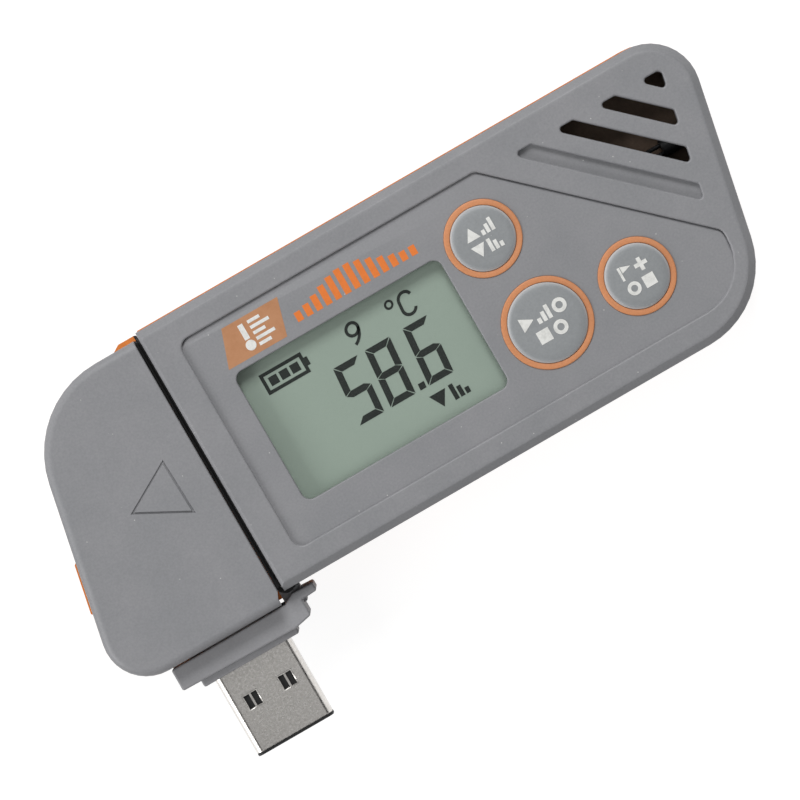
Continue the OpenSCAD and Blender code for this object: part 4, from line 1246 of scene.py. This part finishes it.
@dataclass
class Keypad(SubAssembly):
    """Three push buttons, each with two rows of signs, and the mat whose collars surround them.

    Attributes:
        steps: Steps in a full turn of the round pieces.
        flange: How far a button's flange stands out past its cap.
        flange_t: Thickness of a button's flange.
        stem_r: Radius of a button's stem.
        slack: Gap between a button and its collar.
        collar: Width of a collar.
        collar_h: Height of a collar.
        collar_round: Rounding of a collar's edges.
        sink: How far the mat's plain crests lie under the rounded collars.
        rise: Height of a button's edge over its flange.
        edge: Rounding of a button's edge.
        crown: Height of a button's crown.
        crown_curve: Points between the crown's edge and middle, as shares of its radius and height.
        ink: Thickness of the signs over the crown.
        sign_pitch: Distance between neighbouring signs, as a share of their height.
        row_pitch: Distance between the two rows, as a share of the same.
        keys: Node, body, sign height and rows of signs of each button.
    """

    body: str = "case"
    steps: int = 96
    flange: float = 0.5
    flange_t: float = 0.7
    stem_r: float = 1.2
    slack: float = 0.03
    collar: float = 0.84
    collar_h: float = 1.2
    collar_round: float = 0.15
    sink: float = 0.4
    rise: float = 2.8
    edge: float = 0.6
    crown: float = 0.15
    crown_curve: tuple[Point, ...] = ((0.75, 0.5), (0.45, 0.85))
    ink: float = 0.02
    sign_pitch: float = 1.16
    row_pitch: float = 1.24
    keys: tuple[tuple[str, str, float, tuple[tuple[Sign, ...], ...]], ...] = (
        ("select_button", "select_key", 2.05, ((Sign.UP, Sign.RISING), (Sign.DOWN, Sign.FALLING))),
        ("start_button", "start_key", 2.2, ((Sign.RUN, Sign.RISING, Sign.RING), (Sign.HALT, Sign.RING))),
        ("mark_button", "mark_key", 2.05, ((Sign.FLAG, Sign.PLUS), (Sign.RING, Sign.HALT))),
    )

    def build(self) -> None:
        """Makes the mat's collars, the buttons and their signs."""
        self.dress_nodes(GOLD_PLATE, "dome_switches")
        mat = cad_copy("keypad_mat")
        top = node_box("keypad_mat")[1].z
        crests = [v for v in mat.verts if at_height(top)(v.co / MM)]
        bmesh.ops.translate(mat, vec=(0, 0, -self.sink * MM), verts=crests)
        self.add(mat, "keypad_mat_sheet", COLLAR_SILICONE, "orange_rubber", ["keypad_mat"])
        for node, body, size, rows in self.keys:
            low, high = node_box(node)
            at = ((low.x + high.x) / 2, (low.y + high.y) / 2)
            radius = (high.x - low.x) / 2 - self.flange
            self.add(self.ring(at, radius, top), f"{node}_collar", COLLAR_SILICONE, "orange_rubber")
            self.add(
                self.button(at, radius, low.z, high.z), f"{node}_cap", KEY_SILICONE, "button_grey", [node],
                body=body
            )
            self.add(
                self.signs(at, size, rows).raised(high.z - self.crown, self.crown + self.ink),
                f"{node}_signs", WHITE_INK, "button_grey", body=body
            )

    def ring(self, at: Point, radius: float, top: float) -> Shape:
        """Collar round a button.

        Args:
            at: The button's axis.
            radius: The button's radius.
            top: Height of the collar's upper side.

        Returns:
            The collar's mesh.
        """
        foot = top - self.collar_h
        inner, outer = radius + self.slack, radius + self.slack + self.collar
        profile = [(inner, foot), (inner, top), (outer, top), (outer, foot), (inner, foot)]
        shape = turned(profile, at, self.steps)
        soften(shape, self.collar_round, at_height(top))
        return shape

    def button(self, at: Point, radius: float, foot: float, top: float) -> Shape:
        """One button with stem, flange, soft edge and crowned top.

        Args:
            at: Its axis.
            radius: Radius of its cap.
            foot: Height of its stem's lower end.
            top: Height of its crown.

        Returns:
            The button's mesh.
        """
        rim = top - self.crown
        flange_z = rim - self.rise
        under, wide = flange_z - self.flange_t, radius + self.flange
        shape = turned([
            (0, foot), (self.stem_r, foot), (self.stem_r, under), (wide, under), (wide, flange_z),
            (radius, flange_z), (radius, rim),
            *[(share * radius, rim + height * self.crown) for share, height in self.crown_curve], (0, top)
        ], at, self.steps)
        soften(shape, self.edge, at_height(rim))
        return shape

    def signs(self, at: Point, size: float, rows: Sequence[Sequence[Sign]]) -> InkSheet:
        """Rows of signs round a button's middle.

        Args:
            at: The button's axis.
            size: Height of a sign.
            rows: The signs of each row, from the top.

        Returns:
            The sheet with the signs.
        """
        sheet = InkSheet()
        for row, signs in enumerate(rows):
            y = at[1] + (0.5 - row) * self.row_pitch * size
            for k, sign in enumerate(signs):
                x = at[0] + (k - (len(signs) - 1) / 2) * self.sign_pitch * size
                sheet.sign(sign, (x, y), size)
        return sheet


@dataclass
class Cap(SubAssembly):
    """Pull-off cap with its engraved triangle and grip pads.

    Attributes:
        mouth_round: Rounding of the edges at the open end, in mm.
        mouth_depth: Depth under the front face down to which they are rounded, in mm.
        groove_round: Rounding of the engraved line's edges, in mm.
        mouth_shade_plate: Thickness of the black plate on the rear half's mouth, painted shade that keeps the
            gap to the case dark, in mm.
    """

    body: str = "cap"
    mouth_round: float = 0.18
    mouth_depth: float = 2.0
    groove_round: float = 0.05
    mouth_shade_plate: float = 0.12

    def build(self) -> None:
        """Makes both halves and dresses the rest."""
        end = node_box("cap_front")[1]

        def at_mouth(point: Vector) -> bool:
            """Test that is true for points at the open end, near the front face."""
            return abs(point.x - end.x) < NEAR and point.z > end.z - self.mouth_depth

        self.mould(
            "cap_front", "cap_front_moulding", GREY_ABS, "grey_shell",
            (self.mouth_round, at_mouth), (self.groove_round, at_height(end.z))
        )
        self.mould(
            "cap_rear", "cap_rear_moulding", ORANGE_ABS, "orange_shell", (self.mouth_round, at_height(0.0))
        )
        # Painted shade: a black plate over the rear half's orange mouth, so that the gap to the case looks
        # dark
        self.add(end_face("cap_rear", 0, end.x, self.mouth_shade_plate), "cap_mouth_shade_plate", BLACK_RUBBER, "black_rubber")
        self.mould("cap_screws", "cap_screw_heads", ZINC_STEEL, "screw_steel")
        self.dress_nodes(ZINC_STEEL, "cap_spring")


@dataclass
class Plug(SubAssembly):
    """Fold-out USB plug on its carrier.

    Attributes:
        shell_round: Rounding of the steel shell's edges, in mm.
        shell_angle: Smallest angle between faces at these edges, in degrees.
        shell_smooth: Largest angle between the shell's faces that is shaded smooth, in degrees.
        carrier_round: Rounding of the carrier's edges, in mm.
        mouth_shade: Length of the black rim at the plug's mouth, painted shade that stands in for the shade
            inside the mouth.
        mouth_shade_round: Rounding of the rim's edges, in mm.
        window: Side of a latch window.
        window_round: Rounding of the latch windows' edges.
        window_pitch: Distance between the middles of the latch windows.
        window_back: Distance from the plug's tip to the latch windows.
        window_reach: Distance from a window's middle within which its edges lie.
        rib_w: Width of the spring that shows in a window.
        rib_t: Thickness of that spring.
    """

    body: str = "usb_plug"
    shell_round: float = 0.12
    shell_angle: float = 60.0
    shell_smooth: float = 50.0
    carrier_round: float = 0.3
    mouth_shade: float = 0.4
    mouth_shade_round: float = 0.08
    window: float = 2.0
    window_round: float = 0.22
    window_pitch: float = 5.5
    window_back: float = 6.3
    window_reach: float = 1.2
    rib_w: float = 0.3
    rib_t: float = 0.06

    def build(self) -> None:
        """Makes the carrier and the steel shell and dresses the rest."""
        self.mould(
            "usb_carrier", "usb_carrier_moulding", CARRIER_ABS, "carrier_grey", (self.carrier_round, anywhere)
        )
        shell = cad_copy("usb_shell")
        tip = node_box("usb_shell")[0].y
        # Painted shade: the steel's tip moves back and a black rim takes its place, for the shade inside the
        # mouth
        mouth = [v for v in shell.verts if v.co.y / MM < tip + NEAR]
        bmesh.ops.translate(shell, vec=(0, self.mouth_shade * MM, 0), verts=mouth)
        rim = end_face("usb_shell", 1, tip, self.mouth_shade)
        soften(rim, self.mouth_shade_round, lambda p: p.y < tip + NEAR)
        self.add(rim, "usb_mouth_shade_rim", BLACK_POLYAMIDE, "black_plastic")
        soften(shell, self.window_round, self.on_window)
        soften(shell, self.shell_round, anywhere, self.shell_angle)
        self.add(
            shell, "usb_shell_sheet", PLUG_STEEL, "plug_steel", ["usb_shell"], smooth=self.shell_smooth
        )
        self.add(self.latch_ribs(), "usb_latch_ribs", PLUG_STEEL, "plug_steel")
        self.dress_nodes(BLACK_POLYAMIDE, "usb_insulator")
        self.dress_nodes(GOLD_PLATE, "usb_contacts")
        self.dress_nodes(BOARD_MASK, "usb_board")

    def windows(self) -> list[Point]:
        """Finds the latch windows.

        Returns:
            Middle of each window's edge on the side of the plug's tip, in mm.
        """
        low, high = node_box("usb_shell")
        middle = (low.x + high.x) / 2
        return [(middle + side * self.window_pitch / 2, low.y + self.window_back) for side in (-1, 1)]

    def on_window(self, point: Vector) -> bool:
        """Says whether a point is on the upper edge of a latch window.

        Args:
            point: The point, in mm.

        Returns:
            True if it is.
        """
        return at_height(node_box("usb_shell")[1].z)(point) and any(
            max(abs(point.x - x), abs(point.y - y - self.window / 2)) < self.window_reach
            for x, y in self.windows()
        )

    def latch_ribs(self) -> Shape:
        """Narrow springs that show in the middle of the latch windows.

        Returns:
            The springs' mesh.
        """
        sheet = InkSheet()
        for x, y in self.windows():
            sheet.bar(x - self.rib_w / 2, y, self.rib_w, self.window)
        return sheet.raised(node_box("usb_insulator")[1].z - self.rib_t, 2 * self.rib_t)


@dataclass
class HingeEnd(SubAssembly):
    """Black end of the case with the hinge ears, the cap's tongue and the pin.

    Attributes:
        edge_round: Rounding of its edges, in mm.
        edge_end: Place along X up to which its edges are rounded, in mm.
        shade_sheet_z: Height of the lower side of the black sheet of painted shade in the gap.
        shade_sheet_t: Thickness of the sheet.
        shade_sheet_gap: Gap between the sheet and the cap.
        shade_sheet_start: Lower end of the sheet, measured from the case's lower side.
        shade_sheet_end: Upper end of the sheet, measured from the case's upper side.
        shade_sheet_round: Rounding of the sheet's edges.
    """

    body: str = "case"
    edge_round: float = 0.15
    edge_end: float = -26.9
    shade_sheet_z: float = 14.9
    shade_sheet_t: float = 0.5
    shade_sheet_gap: float = 0.03
    shade_sheet_start: float = 0.8
    shade_sheet_end: float = 1.2
    shade_sheet_round: float = 0.1

    def build(self) -> None:
        """Makes the end plate and the black sheet of painted shade in the gap beside it, and dresses the pin.
        """
        self.mould(
            "end_plate", "end_plate_moulding", BLACK_POLYAMIDE, "black_plastic",
            (self.edge_round, lambda p: p.x < self.edge_end)
        )
        # Painted shade: a black sheet set into the gap so that it looks dark
        self.add(self.shade_sheet(), "gap_shade_sheet", BLACK_RUBBER, "black_rubber")
        self.dress_nodes(ZINC_STEEL, "hinge_pin")

    def shade_sheet(self) -> Shape:
        """Black sheet in the gap between case and cap: painted shade that keeps the gap dark.

        Returns:
            The sheet's mesh.
        """
        low, high = node_box("front_shell")
        gap = low.x - node_box("cap_front")[1].x
        foot = low.y + self.shade_sheet_start
        sheet = InkSheet()
        sheet.bar(low.x - gap + self.shade_sheet_gap, foot, gap, high.y - self.shade_sheet_end - foot)
        shape = sheet.raised(self.shade_sheet_z, self.shade_sheet_t)
        soften(shape, self.shade_sheet_round, anywhere)
        return shape


@dataclass
class BatteryBay(SubAssembly):
    """Coin cell, its contacts and the door.

    Attributes:
        door_round: Rounding of the door's outer edges, in mm.
    """

    body: str = "battery_hatch"
    door_round: float = 0.25

    def build(self) -> None:
        """Makes the door and dresses the cell and the contacts."""
        self.mould(
            "battery_door", "battery_door_moulding", BLACK_POLYAMIDE, "black_plastic",
            (self.door_round, at_height(0.0))
        )
        self.dress_nodes(BLACK_RUBBER, "battery_door_seal")
        self.dress_nodes(CELL_CAN, "coin_cell")
        self.dress_nodes(GOLD_PLATE, "cell_contact_top", "cell_contact_side")


@dataclass
class Electronics(SubAssembly):
    """Circuit board with its chips, crystal and sensor, and a brown sheet of painted shade under the vents.

    Attributes:
        vent_shade: Corners of the brown sheet of painted shade, measured from the board's far edge and the
            centre line.
        vent_shade_z: Height of the sheet's lower side.
        vent_shade_t: Thickness of the sheet.
    """

    body: str = "case"
    vent_shade: tuple[Point, ...] = ((0.4, -1.0), (17.0, -1.0), (20.1, 13.5), (17.3, 17.4), (0.4, 17.4))
    vent_shade_z: float = 8.2
    vent_shade_t: float = 0.6

    def build(self) -> None:
        """Dresses the board and what is on it, and lays the brown sheet of painted shade under the vents."""
        edge = node_box("circuit_board")[1].x
        # Painted shade: a brown sheet under the vents that keeps their inside dark
        sheet = InkSheet()
        sheet.plate(*[(edge + x, y) for x, y in self.vent_shade])
        self.add(sheet.raised(self.vent_shade_z, self.vent_shade_t), "vent_shade_sheet", VENT_SHADE_SHEET, "black_rubber")
        self.dress_nodes(BOARD_MASK, "circuit_board")
        self.dress_nodes(CHIP_EPOXY, "processor_chip", "memory_chip", "temperature_sensor")
        self.dress_nodes(ZINC_STEEL, "clock_crystal")


@dataclass
class Studio:
    """Camera, lamps and white floor, which aren't part of the object.

    Attributes:
        target: Point that the camera looks at, in mm.
        view_width: Width of the picture at the target, in mm.
        distance: Distance from the camera to the target, in mm.
        roll: Angle by which the object's X axis points up in the picture, in degrees.
        lean: Angle by which the camera leans over to the upper long side, in degrees.
        sensor: Width of the camera's sensor, in mm.
        clip: Nearest and farthest distance that the camera sees, in metres.
        floor_side: Side of the floor, in mm.
        floor_drop: Distance from the object down to the floor, in mm.
        paper: Colour of the floor as the object sees it.
        shaded: Colour of the floor's share that keeps the shadow.
        paper_glow: Brightness of the rest of the floor.
        surround: Brightness of the white surround on the object, and as it is seen.
        flags: Name, profile and brightness of each cloth overhead, as flag() has them.
        flag_steps: Steps in a full turn of a cloth.
        lamps: Name, place, side and power of each softbox, as lamp() has them.
    """

    target: Place = (0.0, -5.64, 17.0)
    view_width: float = 109.4
    distance: float = 600.0
    roll: float = 30.03
    lean: float = 1.2
    sensor: float = 36.0
    clip: Point = (0.01, 20.0)
    floor_side: float = 4000.0
    floor_drop: float = 0.02
    paper: str = "#8C8C8C"
    shaded: str = "#8A8A8A"
    paper_glow: float = 0.9
    surround: Point = (0.31, 1.0)
    flags: tuple[tuple[str, tuple[Point, ...], float], ...] = (
        ("grey_flag", ((0, 560), (170, 520)), 0.55),
        ("dark_flag", ((170, 520), (430, 330)), 0.02),
    )
    flag_steps: int = 64
    lamps: tuple[tuple[str, Place, float, float], ...] = (
        ("key_softbox", (0.15, 0.68, 0.7), 0.4, 5.3),
        ("side_softbox", (-0.9, -0.1, 0.5), 0.5, 4.8),
    )

    def build(self) -> None:
        """Sets up camera, floor, cloths, world and lamps."""
        bpy.context.scene.view_settings.view_transform = "Standard"
        self.camera()
        self.floor()
        for name, profile, level in self.flags:
            self.flag(name, profile, level)
        self.world()
        for name, place, side, watts in self.lamps:
            self.lamp(name, place, side, watts)
        LOG.info("studio ready")

    def camera(self) -> None:
        """Adds the camera above the front face."""
        lean, roll = math.radians(self.lean), math.radians(self.roll)
        back = Vector((0.0, math.sin(lean), math.cos(lean)))
        right = Vector((math.cos(roll), -math.sin(roll), 0.0))
        right = (right - back * right.dot(back)).normalized()
        turn = Matrix((right, back.cross(right), back)).transposed().to_4x4()
        data = bpy.data.cameras.new("camera")
        data.sensor_width = self.sensor
        data.lens = self.sensor * self.distance / self.view_width
        data.clip_start, data.clip_end = self.clip
        camera = bpy.data.objects.new("camera", data)
        camera.matrix_world = Matrix.Translation((Vector(self.target) + back * self.distance) * MM) @ turn
        bpy.context.scene.collection.objects.link(camera)
        bpy.context.scene.camera = camera

    def floor(self) -> None:
        """Adds the white floor, which keeps a faint shadow."""
        shape = bmesh.new()
        bmesh.ops.create_grid(shape, x_segments=1, y_segments=1, size=self.floor_side / 2 * MM)
        bmesh.ops.translate(shape, vec=(0, 0, -self.floor_drop * MM), verts=shape.verts[:])
        floor = new_object(shape, "floor")
        material = bpy.data.materials.new("white_paper_floor")
        tree = emptied(material)
        paper = add_node(tree, "ShaderNodeBsdfDiffuse", {"Color": linear(self.paper)})
        shaded = add_node(tree, "ShaderNodeBsdfDiffuse", {"Color": linear(self.shaded)})
        glow = add_node(tree, "ShaderNodeEmission", {"Color": WHITE, "Strength": self.paper_glow})
        lit = add_node(tree, "ShaderNodeAddShader", {0: shaded.outputs[0], 1: glow.outputs[0]})
        seen = self.seen_directly(tree)
        mixed = add_node(tree, "ShaderNodeMixShader", {0: seen, 1: paper.outputs[0], 2: lit.outputs[0]})
        add_node(tree, "ShaderNodeOutputMaterial", {"Surface": mixed.outputs[0]})
        floor.data.materials.append(material)

    def seen_directly(self, tree: Tree) -> Socket:
        """Value that is 1 for rays from the camera, in mirrors and through glass.

        Args:
            tree: The node tree that gets the nodes.

        Returns:
            The value's socket.
        """
        rays = add_node(tree, "ShaderNodeLightPath").outputs
        seen = rays["Is Camera Ray"]
        for name in ("Is Glossy Ray", "Is Transmission Ray"):
            larger = add_node(tree, "ShaderNodeMath", {0: seen, 1: rays[name]}, operation="MAXIMUM")
            seen = larger.outputs[0]
        return seen

    def flag(self, name: str, profile: Sequence[Point], level: float) -> None:
        """Adds a round cloth overhead that only gloss reflects, so that bare metal shows its form.

        Args:
            name: Name of the cloth.
            profile: Radius and height of its points, in mm.
            level: Brightness of the cloth, as a share of the white surround's.
        """
        cloth = new_object(turned(profile, at=(0.0, 0.0), steps=self.flag_steps), name)
        for ray in ("camera", "diffuse", "transmission", "shadow", "volume_scatter"):
            setattr(cloth, f"visible_{ray}", False)
        material = bpy.data.materials.new(f"{name}_cloth")
        tree = emptied(material)
        glow = add_node(tree, "ShaderNodeEmission", {"Color": WHITE, "Strength": level})
        add_node(tree, "ShaderNodeOutputMaterial", {"Surface": glow.outputs[0]})
        cloth.data.materials.append(material)

    def world(self) -> None:
        """Sets a soft white surround."""
        world = bpy.data.worlds.new("studio")
        bpy.context.scene.world = world
        tree = emptied(world)
        strength = add_node(
            tree, "ShaderNodeMapRange",
            {"Value": self.seen_directly(tree), "To Min": self.surround[0], "To Max": self.surround[1]}
        )
        glow = add_node(
            tree, "ShaderNodeBackground", {"Color": WHITE, "Strength": strength.outputs["Result"]}
        )
        add_node(tree, "ShaderNodeOutputWorld", {"Surface": glow.outputs[0]})

    def lamp(self, name: str, place: Place, side: float, watts: float) -> None:
        """Adds a square softbox that points at the object.

        Args:
            name: Name of the lamp.
            place: Its place in metres.
            side: Its side in metres.
            watts: Its power.
        """
        data = bpy.data.lights.new(name, "AREA")
        data.shape = "SQUARE"
        data.size = side
        data.energy = watts
        lamp = bpy.data.objects.new(name, data)
        lamp.location = place
        lamp.rotation_mode = "QUATERNION"
        lamp.rotation_quaternion = Vector(place).to_track_quat("Z", "Y")
        bpy.context.scene.collection.objects.link(lamp)


def main() -> None:
    """Builds the studio and every sub-assembly, and notes how many pieces each made."""
    logging.basicConfig(level=logging.INFO, format="%(name)s: %(message)s")
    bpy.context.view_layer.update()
    Studio().build()
    groups: list[SubAssembly] = [
        Case(), FaceMarks(), Display(), Keypad(), Cap(), Plug(), HingeEnd(), BatteryBay(), Electronics()
    ]
    for group in groups:
        group.build()
        LOG.info("%s: %d pieces", type(group).__name__, len(group.made))


if __name__ == "__main__":
    main()
